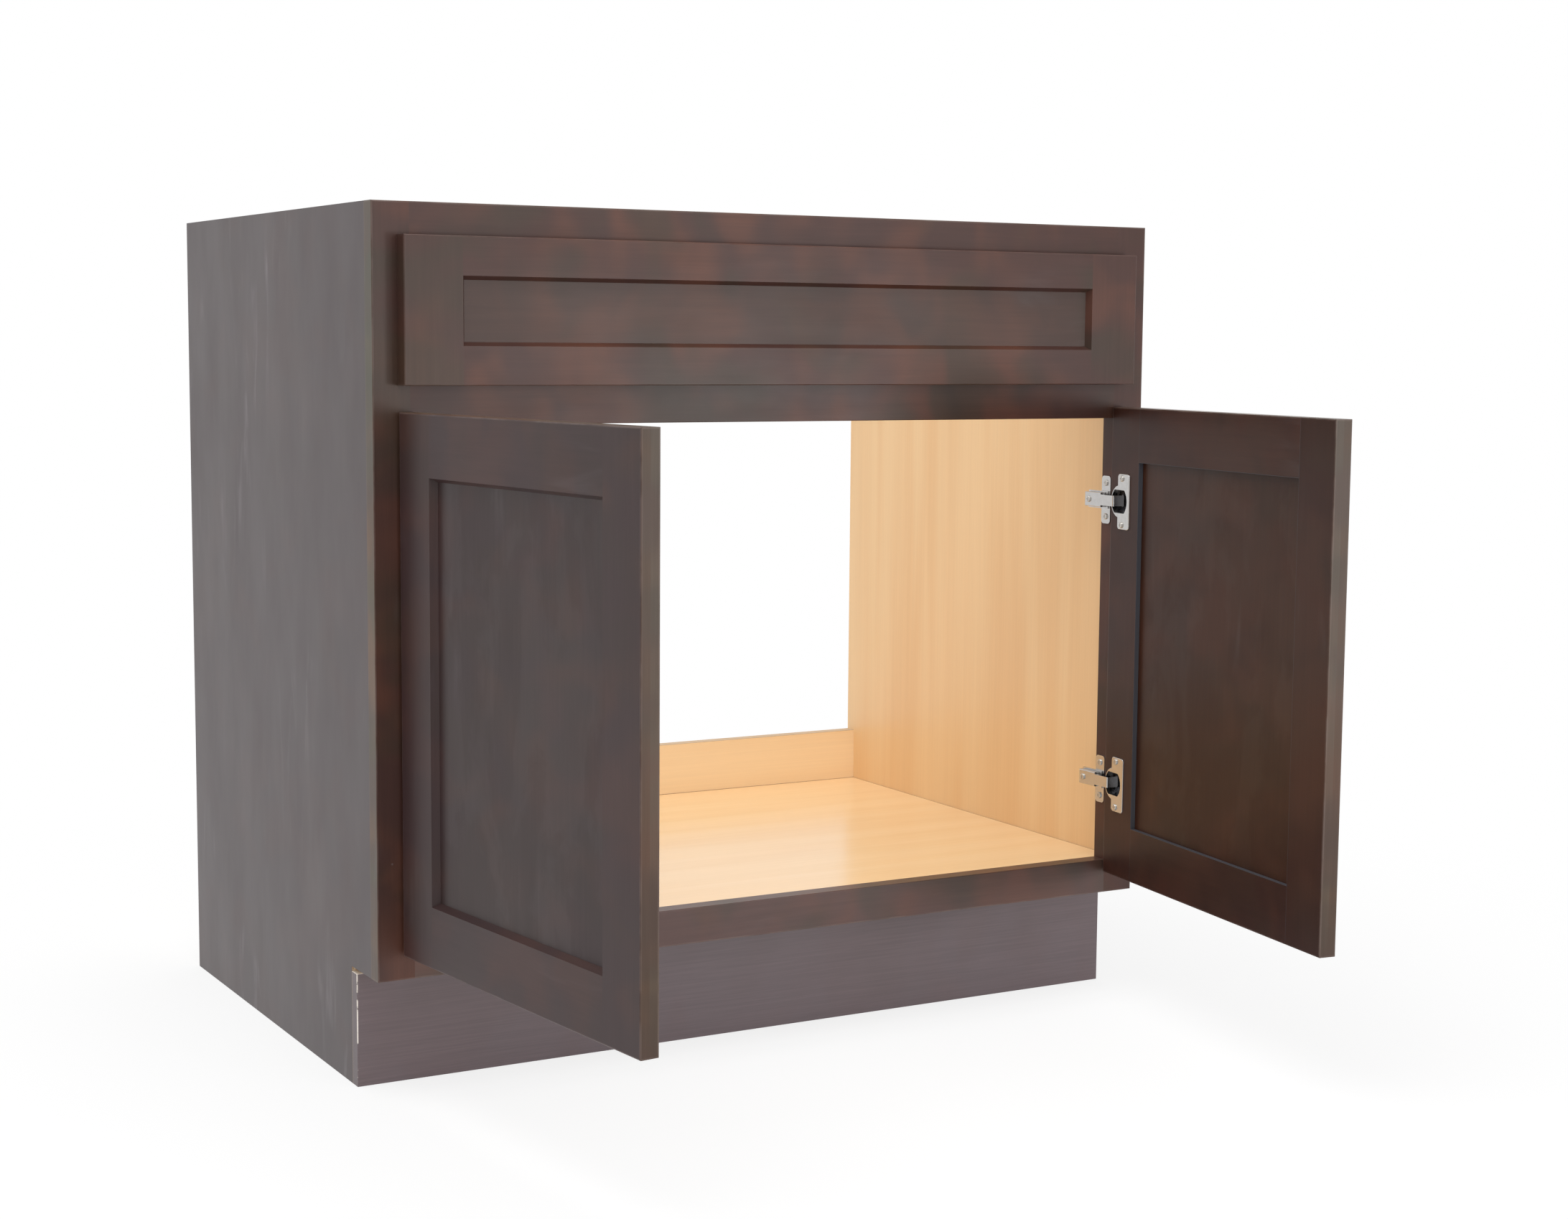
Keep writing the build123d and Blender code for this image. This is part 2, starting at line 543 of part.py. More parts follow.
# Both doors, swung open about their pins as the cabinet stands
left_swing = Pos(PIN_X, PIN_Y, 0) * Rot(0, 0, -LEFT_DOOR_OPEN) * Pos(-PIN_X, -PIN_Y, 0)
right_swing = Pos(-PIN_X, PIN_Y, 0) * Rot(0, 0, RIGHT_DOOR_OPEN) * Pos(PIN_X, -PIN_Y, 0)
for name, piece in door.items():
    pieces[f"left_door_{name}"] = left_swing * piece
    pieces[f"right_door_{name}"] = right_swing * mirrored(piece)
for name, piece in door_hardware.items():
    pieces[f"left_{name}"] = left_swing * piece
    pieces[f"right_{name}"] = right_swing * mirrored(piece)
pieces["left_hinge_cup_screws"] = left_swing * group(door_cup_screws)
pieces["right_hinge_cup_screws"] = right_swing * mirrored(group(door_cup_screws))

os.makedirs("parts", exist_ok=True)
for name, shape in pieces.items():
    export_step(shape, f"parts/{name}.step")

print("nodes", len(pieces))
print("door", DOOR_WIDTH, "x", DOOR_HEIGHT, "from", DOOR_BOTTOM, "to", DOOR_TOP)
print("pins at x", PIN_X, -PIN_X, "y", PIN_Y, "heights", HINGE_HEIGHTS)
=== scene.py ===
"""Looks of the vanity base cabinet: finishes for its packed pieces, and a plain white stage."""

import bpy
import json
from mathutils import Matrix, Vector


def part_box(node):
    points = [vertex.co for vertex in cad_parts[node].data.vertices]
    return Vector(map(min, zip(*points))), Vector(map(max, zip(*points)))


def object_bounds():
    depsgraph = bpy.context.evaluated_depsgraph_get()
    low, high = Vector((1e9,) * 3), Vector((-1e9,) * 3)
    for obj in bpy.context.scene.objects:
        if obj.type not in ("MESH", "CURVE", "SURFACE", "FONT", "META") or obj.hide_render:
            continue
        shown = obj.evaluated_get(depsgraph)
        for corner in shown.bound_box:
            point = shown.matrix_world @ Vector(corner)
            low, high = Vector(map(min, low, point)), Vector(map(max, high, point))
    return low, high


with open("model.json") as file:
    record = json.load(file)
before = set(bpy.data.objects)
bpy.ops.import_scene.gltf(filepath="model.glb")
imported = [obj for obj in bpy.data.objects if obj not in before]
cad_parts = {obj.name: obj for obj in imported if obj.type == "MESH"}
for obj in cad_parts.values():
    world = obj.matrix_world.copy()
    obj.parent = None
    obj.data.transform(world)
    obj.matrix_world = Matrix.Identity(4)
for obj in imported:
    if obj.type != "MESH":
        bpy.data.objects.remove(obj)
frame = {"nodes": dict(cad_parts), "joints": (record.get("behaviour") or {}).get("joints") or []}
CAD_BOX = [list(corner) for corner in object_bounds()]

import json
import math

import bmesh
import bpy
from bpy.props import FloatProperty, FloatVectorProperty, PointerProperty
from bpy.types import Operator, Panel, PropertyGroup
from mathutils import Euler, Matrix, Vector

bl_info = {
    "name": "Vanity Base Cabinet Looks",
    "version": (1, 0, 0),
    "blender": (4, 5, 0),
    "location": "View3D > Sidebar > Cabinet",
    "description": "Stained, maple and nickel finishes and a white stage for a vanity base cabinet",
    "category": "Object",
}

FACE_TOLERANCE = 0.0003
WHITE = (1.0, 1.0, 1.0, 1.0)

# Finishes
NOISE_MIDDLE = 0.5
WOOD_IOR = 1.5
BARE_ROUGHNESS = 0.75
RAW_ROUGHNESS = 0.8
DUST_ROUGHNESS = 0.25
LACQUER_SPREAD = 0.16
VARNISH_SPREAD = 0.1
KNOT_STRENGTH = 0.6
SEAM_STRENGTH = 0.8
FRAME_SPECKS = 0.3
SIDE_MARKS = {"patches": 0.1, "specks": 0.5, "grain": 0.35}
TOE_MARKS = {"patches": 0.08, "smears": 0.1, "specks": 0.8, "grain": 0.6}
RAW_GRAIN = {"Pitch": 0.004, "Strength": 0.14}

# Fine relief: strength, and depth in metres
STAIN_RELIEF = (0.12, 0.0002)
MAPLE_RELIEF = (0.06, 0.0001)
RAW_RELIEF = (0.2, 0.0003)
METAL_RELIEF = (0.01, 0.00001)

# Stage
FLOOR_CELLS = 8
FLOOR_ROUGHNESS = 0.9
SHADOW_CORE = 0.4
SENSOR_WIDTH = 36.0
CLIP_END = 200.0

# Pieces, and where they lie on the part
SIDE_LOW, SIDE_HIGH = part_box("left_side_panel")
TOE_LOW, TOE_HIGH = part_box("toe_kick_board")
FLOOR_LOW, FLOOR_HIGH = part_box("floor_panel")
LIP_LOW, LIP_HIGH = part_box("back_bottom_rail")

FRAME_STILES = ["face_frame_left_stile", "face_frame_right_stile"]
FRAME_RAILS = ["face_frame_top_rail", "face_frame_mid_rail"]
LOW_RAIL = ["face_frame_bottom_rail"]
FALSE_STILES = ["false_front_left_stile", "false_front_right_stile"]
FALSE_RAILS = ["false_front_top_rail", "false_front_bottom_rail"]
DOOR_JOINTS = {joint["child"]: joint for joint in frame["joints"]}


def closing_angle(body):
    """The turn about the upright pin that shuts a door."""
    joint = DOOR_JOINTS[body]
    return math.radians(joint["range_deg"][0]) * joint["axis"][2]


def closed_points(names, body=None):
    """Points of some packed pieces, with their door shut."""
    turn = Matrix.Identity(4)
    if body:
        pin = Matrix.Translation(DOOR_JOINTS[body]["pos_m"])
        turn = pin @ Matrix.Rotation(closing_angle(body), 4, "Z") @ pin.inverted()
    return [turn @ vertex.co for name in names for vertex in frame["nodes"][name].data.vertices]


def closed_box(names, body=None):
    """Lowest and highest corner of some packed pieces, with their door shut."""
    axes = list(zip(*closed_points(names, body)))
    return Vector([min(axis) for axis in axes]), Vector([max(axis) for axis in axes])


def ledge_planes(names, body, axis):
    """Where the back faces of a shut door's two stiles or rails end, on each side of its panel."""
    spans = []
    for name in names:
        points = closed_points([name], body)
        back = max(point.y for point in points)
        ends = [point["XYZ".index(axis)] for point in points if back - point.y < FACE_TOLERANCE]
        spans.append((min(ends), max(ends)))
    lower, upper = sorted(spans)
    return lower[1], upper[0]


# User settings


def settings_of(kind, **fixed):
    """A maker of settings of one kind."""

    def make(name, description, default):
        return kind(name=name, description=description, default=default, **fixed)

    return make


colour = settings_of(FloatVectorProperty, subtype="COLOR", size=3, min=0.0, max=1.0)
share = settings_of(FloatProperty, subtype="FACTOR", min=0.0, max=1.0)
intensity = settings_of(FloatProperty, min=0.0)
length = settings_of(FloatProperty, subtype="DISTANCE", unit="LENGTH")
place = settings_of(FloatVectorProperty, subtype="TRANSLATION", unit="LENGTH")
angle = settings_of(FloatProperty, subtype="ANGLE", unit="ROTATION")
power = settings_of(FloatProperty, subtype="POWER", unit="POWER")
focus = settings_of(FloatProperty, subtype="DISTANCE_CAMERA", unit="CAMERA")


class EspressoSettings(PropertyGroup):
    """Dark stain on the face frame, the false front, the doors and the outside of the box."""

    stain: colour("Stain", "Stain on the face frame and the false front", (0.053, 0.023, 0.018))
    # Painted light: the bottom rail's stain is paler to stand in for light bounced up from the
    # floor
    low_stain: colour("Low stain", "Stain on the face frame's bottom rail", (0.072, 0.034, 0.028))
    # Painted light: the doors' outside stains are greyer, a painted reflection, and their inside
    # stains darker, painted shade
    door_stain: colour(
        "Door stain", "Stain on the outside of the doors' frames", (0.0395, 0.0215, 0.0216)
    )
    door_inner: colour(
        "Door inner stain", "Stain on the inside of the doors' frames", (0.033, 0.0128, 0.0092)
    )
    panel_stain: colour(
        "Panel stain", "Stain on the flat panel of the false front", (0.050, 0.0255, 0.019)
    )
    door_panel_stain: colour(
        "Door panel stain", "Stain on the outside of the doors' panels", (0.037, 0.0221, 0.0224)
    )
    door_panel_inner: colour(
        "Inner panel stain", "Stain on the inside of the doors' panels", (0.035, 0.0136, 0.0078)
    )
    warm_patch: colour(
        "Warm patch", "Reddish patches where the stain took less", (0.104, 0.038, 0.022)
    )
    olive_patch: colour(
        "Olive patch", "Olive patches where the stain lies thick", (0.037, 0.026, 0.017)
    )
    edge_stain: colour("Edge stain", "Paler stain on the face frame's edges", (0.080, 0.053, 0.039))
    door_edge: colour("Door edge", "Paler stain on the doors' edges", (0.062, 0.038, 0.028))
    # Painted reflection: the grey on the ledges behind the doors' panels stands in for the sky
    # mirrored there
    ledge: colour(
        "Ledge", "Grey lacquer on the ledges behind the doors' panels", (0.060, 0.060, 0.069)
    )
    # Partly wear, partly a painted highlight along the edges
    rubbed: colour("Rubbed edge", "Paler wood at rubbed edges", (0.17, 0.125, 0.11))
    smear: colour("Smear", "Dusty wipe marks on the lacquer", (0.26, 0.24, 0.25))
    side_stain: colour(
        "Side stain", "Stain on the outside of the side panels", (0.052, 0.036, 0.038)
    )
    # Partly stain, partly a painted reflection: the toe board is paler and greyer to stand in for
    # the floor mirrored on it
    toe_stain: colour("Toe stain", "Stain on the toe-kick board", (0.110, 0.079, 0.086))
    patch_size: length("Patch size", "Typical width of a patch in the stain", 0.058)
    grain_pitch: length("Grain pitch", "Typical distance between grain lines", 0.006)
    rub_width: length("Rub width", "Width of the rubbed line along an edge", 0.0022)
    patch_strength: share("Patch strength", "How strongly the patches show", 0.66)
    panel_patches: share(
        "Panel patches", "How strongly the patches show on the false front's panel", 0.42
    )
    door_patches: share("Door patches", "How strongly the patches show on the doors", 0.2)
    grain_strength: share("Grain strength", "How strongly the grain shows", 0.12)
    rub_strength: share("Rub strength", "How far the edges are rubbed", 0.35)
    front_rub: share("Front rub strength", "How far the edges of the false front are rubbed", 0.12)
    smears: share("Smears", "How strongly wipe marks show on the face frame and the doors", 0.08)
    side_smears: share("Side smears", "How strongly wipe marks show on the side panels", 0.6)
    lacquer_roughness: share("Lacquer roughness", "Roughness of the satin lacquer", 0.38)
    lacquer_gloss: share("Lacquer gloss", "Strength of the lacquer's reflections", 0.26)
    low_gloss: share(
        "Low gloss", "Strength of the bottom rail's reflections, polished by use", 0.42
    )
    door_gloss: share("Door gloss", "Strength of the reflections on the doors' fronts", 0.26)
    wiped: share("Wiped", "How strongly cloudy marks show in the gloss of the doors' panels", 0.22)
    dull_gloss: share(
        "Dull gloss", "Strength of the reflections on the doors' backs and edges", 0.17
    )
    side_gloss: share("Side gloss", "Strength of the side panels' reflections", 0.4)


class MapleSettings(PropertyGroup):
    """Clear maple inside the box, and raw wood on cut edges."""

    maple: colour("Maple", "Clear finished maple", (0.84, 0.60, 0.34))
    # Painted light: the back rails' maple is paler to stand in for the light falling on them
    pale_maple: colour("Pale maple", "Clear finished maple of the back rails", (0.95, 0.75, 0.49))
    streak: colour("Streak", "Darker maple streaks", (0.79, 0.52, 0.27))
    seam: colour("Seam", "Dark line where two boards meet", (0.20, 0.095, 0.045))
    raw: colour("Raw wood", "Unfinished wood and pale plies", (0.60, 0.46, 0.31))
    core: colour("Core", "Darker plies on a cut edge", (0.42, 0.29, 0.18))
    chip: colour("Chip", "Bare wood where the stain is chipped off", (0.80, 0.74, 0.66))
    knot: colour("Knot", "Pin knots in the maple", (0.32, 0.17, 0.08))
    streak_width: length("Streak width", "Typical width of a maple streak", 0.05)
    side_streaks: share("Side streaks", "How strongly the streaks show on the sides", 0.85)
    floor_streaks: share(
        "Floor streaks", "How strongly the streaks show on the floor and rails", 0.4
    )
    seam_width: length("Seam width", "Width of the dark line where two boards meet", 0.0012)
    ply_thickness: length("Ply thickness", "Thickness of one ply on a cut edge", 0.0023)
    varnish_roughness: share("Varnish roughness", "Roughness of the clear finish", 0.22)


class MetalSettings(PropertyGroup):
    """Nickel plated hinges and zinc plated screws."""

    nickel: colour("Nickel", "Plating on the hinges", (0.52, 0.51, 0.50))
    zinc: colour("Zinc", "Plating on the screws", (0.55, 0.53, 0.50))
    # Painted shade: the cups darken with depth in the hollow
    cup_hollow: colour("Cup hollow", "Oiled steel inside the cups", (0.20, 0.20, 0.21))
    nickel_roughness: share("Nickel roughness", "Roughness of the nickel plating", 0.22)
    zinc_roughness: share("Zinc roughness", "Roughness of the zinc plating", 0.3)


class StageSettings(PropertyGroup):
    """White floor, soft light and the camera."""

    floor: colour("Floor", "Colour of the floor", (0.88, 0.88, 0.88))
    floor_size: length("Floor size", "Width of the square floor", 60.0)
    shadow_radius: length("Shadow radius", "Reach of the floor that keeps the shadow", 1.6)
    floor_glow: share("Floor glow", "White added to the floor near the cabinet", 0.8)
    sky: intensity("Sky", "Strength of the even light from all round", 0.78)
    front_power: power("Front lamp power", "Power of the large soft lamp in front", 17.0)
    front_size: length("Front lamp size", "Width of the large soft lamp in front", 2.4)
    front_place: place("Front lamp place", "Where the lamp in front stands", (0.2, -3.5, 0.8))
    side_power: power("Side lamp power", "Power of the lamp to the right", 31.0)
    side_size: length("Side lamp size", "Width of the lamp to the right", 0.8)
    side_place: place("Side lamp place", "Where the lamp to the right stands", (1.75, -3.4, 0.4))
    top_power: power("Top lamp power", "Power of the soft lamp overhead", 47.0)
    top_size: length("Top lamp size", "Width of the soft lamp overhead", 2.2)
    top_place: place("Top lamp place", "Where the lamp overhead hangs", (-0.5, -0.35, 2.7))
    camera_place: place("Camera place", "Where the camera stands", (-1.2850, -2.3257, 0.7472))
    camera_turn: angle(
        "Camera turn", "Turn of the camera from straight ahead to the right", 0.51562
    )
    camera_dip: angle("Camera dip", "Tilt of the camera below level", 0.10776)
    camera_roll: angle("Camera roll", "Roll of the camera about its line of sight", 0.0080958)
    lens: focus("Lens", "Focal length", 57.085)


# Node building


def fill_inputs(tree, node, inputs):
    """Link or set some of a node's inputs."""
    for key, value in inputs.items():
        socket = node.inputs[key]
        if isinstance(value, bpy.types.NodeSocket):
            tree.links.new(value, socket)
        else:
            socket.default_value = value


def add_node(tree, kind, options=None, inputs=None):
    """Place a node, set its options, and link or set its inputs."""
    node = tree.nodes.new(kind)
    for option, value in (options or {}).items():
        setattr(node, option, value)
    fill_inputs(tree, node, inputs or {})
    return node


def calc(tree, operation, first, second=0.0, clamp=False):
    """One step of arithmetic on values."""
    options = {"operation": operation, "use_clamp": clamp}
    return add_node(tree, "ShaderNodeMath", options, {0: first, 1: second}).outputs[0]


def vector_calc(tree, operation, first, second):
    """One step of arithmetic on vectors."""
    options = {"operation": operation}
    return add_node(tree, "ShaderNodeVectorMath", options, {0: first, 1: second}).outputs[0]


def lengthen(tree, vector, squeeze):
    """Coordinates squeezed along the third axis, so that a pattern on them is long along it."""
    return vector_calc(tree, "MULTIPLY", vector, (1.0, 1.0, squeeze))


def blend(tree, factor, first, second, mode="MIX"):
    """Two colours mixed by a factor."""
    options = {"data_type": "RGBA", "blend_type": mode}
    return add_node(tree, "ShaderNodeMix", options, {0: factor, 6: first, 7: second}).outputs[2]


def ramp(tree, value, low, high, start=0.0, end=1.0):
    """A smooth step between two values."""
    options = {"interpolation_type": "SMOOTHSTEP", "clamp": True}
    inputs = {"Value": value, "From Min": low, "From Max": high, "To Min": start, "To Max": end}
    return add_node(tree, "ShaderNodeMapRange", options, inputs).outputs["Result"]


def noise(tree, vector, scale, detail=2.0, roughness=0.5, distortion=0.0):
    """Soft noise between nothing and one."""
    inputs = {
        "Vector": vector,
        "Scale": scale,
        "Detail": detail,
        "Roughness": roughness,
        "Distortion": distortion,
    }
    return add_node(tree, "ShaderNodeTexNoise", {}, inputs).outputs[0]


def axis_values(tree, vector):
    """The three parts of a vector."""
    return add_node(tree, "ShaderNodeSeparateXYZ", {}, {"Vector": vector}).outputs


def rare_dots(tree, vector, scale, core, reach, rarity):
    """Mask of soft round dots in a few of the cells around random points."""
    options, inputs = {"feature": "F1"}, {"Vector": vector, "Scale": scale}
    cells = add_node(tree, "ShaderNodeTexVoronoi", options, inputs).outputs
    near = ramp(tree, cells["Distance"], core, reach, start=1.0, end=0.0)
    chosen = calc(tree, "GREATER_THAN", axis_values(tree, cells["Color"])["X"], rarity)
    return calc(tree, "MULTIPLY", near, chosen)


def uneven(tree, value, cloud, spread):
    """A value that goes up and down with a noise."""
    change = calc(tree, "MULTIPLY", calc(tree, "SUBTRACT", cloud, NOISE_MIDDLE), spread)
    return calc(tree, "ADD", value, change, True)


def rgba(setting):
    """A colour setting as a socket value."""
    return (*setting, 1.0)


def new_group(name, inputs, outputs):
    """An empty node group with named sockets, and the sockets of its two end nodes."""
    group = bpy.data.node_groups.new(name, "ShaderNodeTree")
    for socket_name, kind in inputs:
        group.interface.new_socket(socket_name, in_out="INPUT", socket_type=kind)
    for socket_name, kind in outputs:
        group.interface.new_socket(socket_name, in_out="OUTPUT", socket_type=kind)
    given = group.nodes.new("NodeGroupInput").outputs
    return group, given, group.nodes.new("NodeGroupOutput").inputs


# Finishes, as node groups

VECTOR = "NodeSocketVector"
VALUE = "NodeSocketFloat"
COLOUR = "NodeSocketColor"


def stain_mottling():
    """Uneven uptake of the dark stain: soft reddish and olive bands across the grain."""
    group, given, result = new_group(
        "stain_mottling",
        [
            ("Vector", VECTOR),
            ("Stain", COLOUR),
            ("Warm Patch", COLOUR),
            ("Olive Patch", COLOUR),
            ("Patch Size", VALUE),
            ("Strength", VALUE),
        ],
        [("Color", COLOUR)],
    )
    widening, wide_share = (0.75, 0.75, 1.0), 0.25
    starts = {"Warm Patch": (9.1, 4.4, 2.6), "Olive Patch": (3.7, 1.3, 8.1)}
    banded = vector_calc(group, "MULTIPLY", given["Vector"], widening)
    scale = calc(group, "DIVIDE", 1.0, given["Patch Size"])
    wide_scale = calc(group, "MULTIPLY", scale, wide_share)
    mixed = given["Stain"]
    for patch, start in starts.items():
        moved = vector_calc(group, "ADD", banded, start)
        small = noise(group, moved, scale, detail=1.0, distortion=0.4)
        wide = noise(group, moved, wide_scale, detail=1.0)
        taken = ramp(group, calc(group, "ADD", small, wide), low=0.9, high=1.26)
        taken = calc(group, "MULTIPLY", taken, given["Strength"])
        mixed = blend(group, taken, mixed, given[patch])
    group.links.new(mixed, result["Color"])
    return group


def wood_grain():
    """Fine grain and pores along the third axis, as a shade around one and a height."""
    group, given, result = new_group(
        "wood_grain",
        [("Vector", VECTOR), ("Pitch", VALUE), ("Strength", VALUE)],
        [("Shade", VALUE), ("Height", VALUE)],
    )
    fine_share, fineness, contrast = 0.7, 5.0, 2.4
    middle = (1.0 + fine_share) / 2
    scale = calc(group, "DIVIDE", 1.0, given["Pitch"])
    long = lengthen(group, given["Vector"], squeeze=0.05)
    broad = noise(group, long, scale, detail=3.0, roughness=0.6, distortion=0.5)
    fine_scale = calc(group, "MULTIPLY", scale, fineness)
    fine = noise(group, lengthen(group, given["Vector"], squeeze=0.02), fine_scale)
    total = calc(group, "ADD", broad, calc(group, "MULTIPLY", fine, fine_share))
    shade = calc(group, "MULTIPLY", calc(group, "SUBTRACT", total, middle), given["Strength"])
    shade = calc(group, "ADD", calc(group, "MULTIPLY", shade, contrast), 1.0)
    group.links.new(shade, result["Shade"])
    group.links.new(total, result["Height"])
    return group


def framed_edges():
    """Masks of the paler arrises, partly wear and partly a painted highlight, and of the narrow
    edge faces of a flat framed piece.
    """
    group, given, result = new_group(
        "framed_edges",
        [
            ("Vector", VECTOR),
            ("Low", VECTOR),
            ("High", VECTOR),
            ("Width", VALUE),
            ("Strength", VALUE),
        ],
        [("Rub", VALUE), ("Edge Faces", VALUE)],
    )
    from_low = vector_calc(group, "SUBTRACT", given["Vector"], given["Low"])
    from_high = vector_calc(group, "SUBTRACT", given["High"], given["Vector"])
    gaps = axis_values(group, vector_calc(group, "MINIMUM", from_low, from_high))
    near = {
        axis: ramp(group, gaps[axis], 0.0, given["Width"], start=1.0, end=0.0) for axis in "XYZ"
    }
    pairs = [calc(group, "MULTIPLY", near[a], near[b]) for a, b in ("XY", "XZ", "YZ")]
    arris = calc(group, "MAXIMUM", pairs[0], calc(group, "MAXIMUM", pairs[1], pairs[2]))
    arris = ramp(group, arris, low=0.05, high=0.4)
    patchy = noise(group, given["Vector"], scale=26.0, detail=3.0, roughness=0.6)
    broken = ramp(group, patchy, low=0.35, high=0.62, start=0.25, end=1.0)
    # The pale line along the arrises is partly wear, partly a painted highlight
    rub = calc(group, "MULTIPLY", calc(group, "MULTIPLY", arris, broken), given["Strength"], True)
    faces = [calc(group, "LESS_THAN", gaps[axis], FACE_TOLERANCE) for axis in "XZ"]
    group.links.new(rub, result["Rub"])
    group.links.new(calc(group, "MAXIMUM", *faces), result["Edge Faces"])
    return group


def wipe_smears():
    """Mask of upright dusty wipe marks with a few pale specks."""
    group, given, result = new_group(
        "wipe_smears", [("Vector", VECTOR), ("Smears", VALUE), ("Specks", VALUE)], [("Mask", VALUE)]
    )
    upright = lengthen(group, given["Vector"], squeeze=0.18)
    streaks = noise(group, upright, scale=42.0, detail=3.0, roughness=0.55, distortion=0.6)
    streaks = ramp(group, streaks, low=0.52, high=0.78)
    where = ramp(group, noise(group, given["Vector"], scale=5.0), low=0.5, high=0.68)
    smears = calc(group, "MULTIPLY", calc(group, "MULTIPLY", streaks, where), given["Smears"])
    dots = rare_dots(group, given["Vector"], scale=16.0, core=0.012, reach=0.03, rarity=0.86)
    specks = calc(group, "MULTIPLY", dots, given["Specks"])
    group.links.new(calc(group, "MAXIMUM", smears, specks, True), result["Mask"])
    return group


def satin_roughness():
    """Roughness of a brushed finish, with soft wiped patches."""
    group, given, result = new_group(
        "satin_roughness",
        [("Vector", VECTOR), ("Roughness", VALUE), ("Spread", VALUE)],
        [("Roughness", VALUE)],
    )
    upright = lengthen(group, given["Vector"], squeeze=0.4)
    cloud = noise(group, upright, scale=16.0, detail=3.0, roughness=0.6)
    rough = uneven(group, given["Roughness"], cloud, given["Spread"])
    group.links.new(rough, result["Roughness"])
    return group


def maple_figure():
    """Clear maple: broad pale and tan streaks, hair-fine lines and rare pin knots."""
    group, given, result = new_group(
        "maple_figure",
        [
            ("Vector", VECTOR),
            ("Maple", COLOUR),
            ("Streak", COLOUR),
            ("Knot", COLOUR),
            ("Streak Width", VALUE),
            ("Strength", VALUE),
        ],
        [("Color", COLOUR), ("Height", VALUE)],
    )
    scale = calc(group, "DIVIDE", 1.0, given["Streak Width"])
    long = lengthen(group, given["Vector"], squeeze=0.06)
    bands = noise(group, long, scale, roughness=0.45, distortion=0.5)
    taken = calc(group, "MULTIPLY", ramp(group, bands, low=0.34, high=0.7), given["Strength"])
    mixed = blend(group, taken, given["Maple"], given["Streak"])
    hair = noise(group, lengthen(group, given["Vector"], squeeze=0.012), scale=420.0, roughness=0.6)
    lines = ramp(group, hair, low=0.3, high=0.7, start=0.985, end=1.015)
    mixed = blend(group, 1.0, mixed, lines, "MULTIPLY")
    oval = lengthen(group, given["Vector"], squeeze=0.5)
    dots = rare_dots(group, oval, scale=9.0, core=0.006, reach=0.02, rarity=0.8)
    mixed = blend(group, calc(group, "MULTIPLY", dots, KNOT_STRENGTH), mixed, given["Knot"])
    group.links.new(mixed, result["Color"])
    group.links.new(hair, result["Height"])
    return group


def ply_layers():
    """Layers of a cut plywood edge across its thickness."""
    group, given, result = new_group(
        "ply_layers",
        [
            ("Vector", VECTOR),
            ("Depth", VALUE),
            ("Ply", VALUE),
            ("Pale", COLOUR),
            ("Dark", COLOUR),
        ],
        [("Color", COLOUR), ("Height", VALUE)],
    )
    waviness, plies_per_wave = 0.0006, 2.0
    wobble = calc(group, "MULTIPLY", noise(group, given["Vector"], scale=30.0), waviness)
    depth = calc(group, "ADD", given["Depth"], wobble)
    wave_depth = calc(group, "MULTIPLY", given["Ply"], plies_per_wave)
    turns = calc(group, "DIVIDE", depth, wave_depth)
    wave = calc(group, "SINE", calc(group, "MULTIPLY", turns, math.tau))
    layer = ramp(group, wave, low=-0.35, high=0.35)
    fibres = noise(group, given["Vector"], scale=900.0, roughness=0.7)
    frayed = ramp(group, fibres, low=0.3, high=0.7, start=0.55, end=1.0)
    tone = calc(group, "MULTIPLY", layer, frayed)
    group.links.new(blend(group, tone, given["Pale"], given["Dark"]), result["Color"])
    group.links.new(calc(group, "ADD", layer, fibres), result["Height"])
    return group


def plated_metal():
    """Bright plating with faint rolling marks and dull patches."""
    group, given, result = new_group(
        "plated_metal",
        [("Vector", VECTOR), ("Plating", COLOUR), ("Roughness", VALUE)],
        [("Color", COLOUR), ("Roughness", VALUE), ("Height", VALUE)],
    )
    dull = noise(group, given["Vector"], scale=160.0, detail=3.0, roughness=0.6)
    rolled = noise(group, lengthen(group, given["Vector"], squeeze=0.06), scale=2400.0)
    shade = ramp(group, dull, low=0.3, high=0.75, start=1.02, end=0.95)
    group.links.new(blend(group, 1.0, given["Plating"], shade, "MULTIPLY"), result["Color"])
    rough = uneven(group, given["Roughness"], dull, spread=0.08)
    group.links.new(rough, result["Roughness"])
    group.links.new(rolled, result["Height"])
    return group


def use_finish(tree, maker, inputs):
    """Place the node group of a finish, made at its first use, and return its outputs."""
    group = bpy.data.node_groups.get(maker.__name__) or maker()
    return add_node(tree, "ShaderNodeGroup", {"node_tree": group}, inputs).outputs


# Materials


def blank_material(name):
    """A new material with its shader, ready to be wired."""
    material = bpy.data.materials.new(name)
    material.use_nodes = True
    tree = material.node_tree
    tree.nodes.clear()
    shader = tree.nodes.new("ShaderNodeBsdfPrincipled")
    output = tree.nodes.new("ShaderNodeOutputMaterial")
    tree.links.new(shader.outputs["BSDF"], output.inputs["Surface"])
    return material, tree, shader


def closed_vector(tree, body=None):
    """Coordinates on the part with its doors shut."""
    vector = tree.nodes.new("ShaderNodeTexCoord").outputs["Object"]
    if body:
        pin, angle_shut = DOOR_JOINTS[body]["pos_m"], closing_angle(body)
        turn = {"Vector": vector, "Center": pin, "Angle": angle_shut}
        options = {"rotation_type": "Z_AXIS"}
        vector = add_node(tree, "ShaderNodeVectorRotate", options, turn).outputs[0]
    return vector


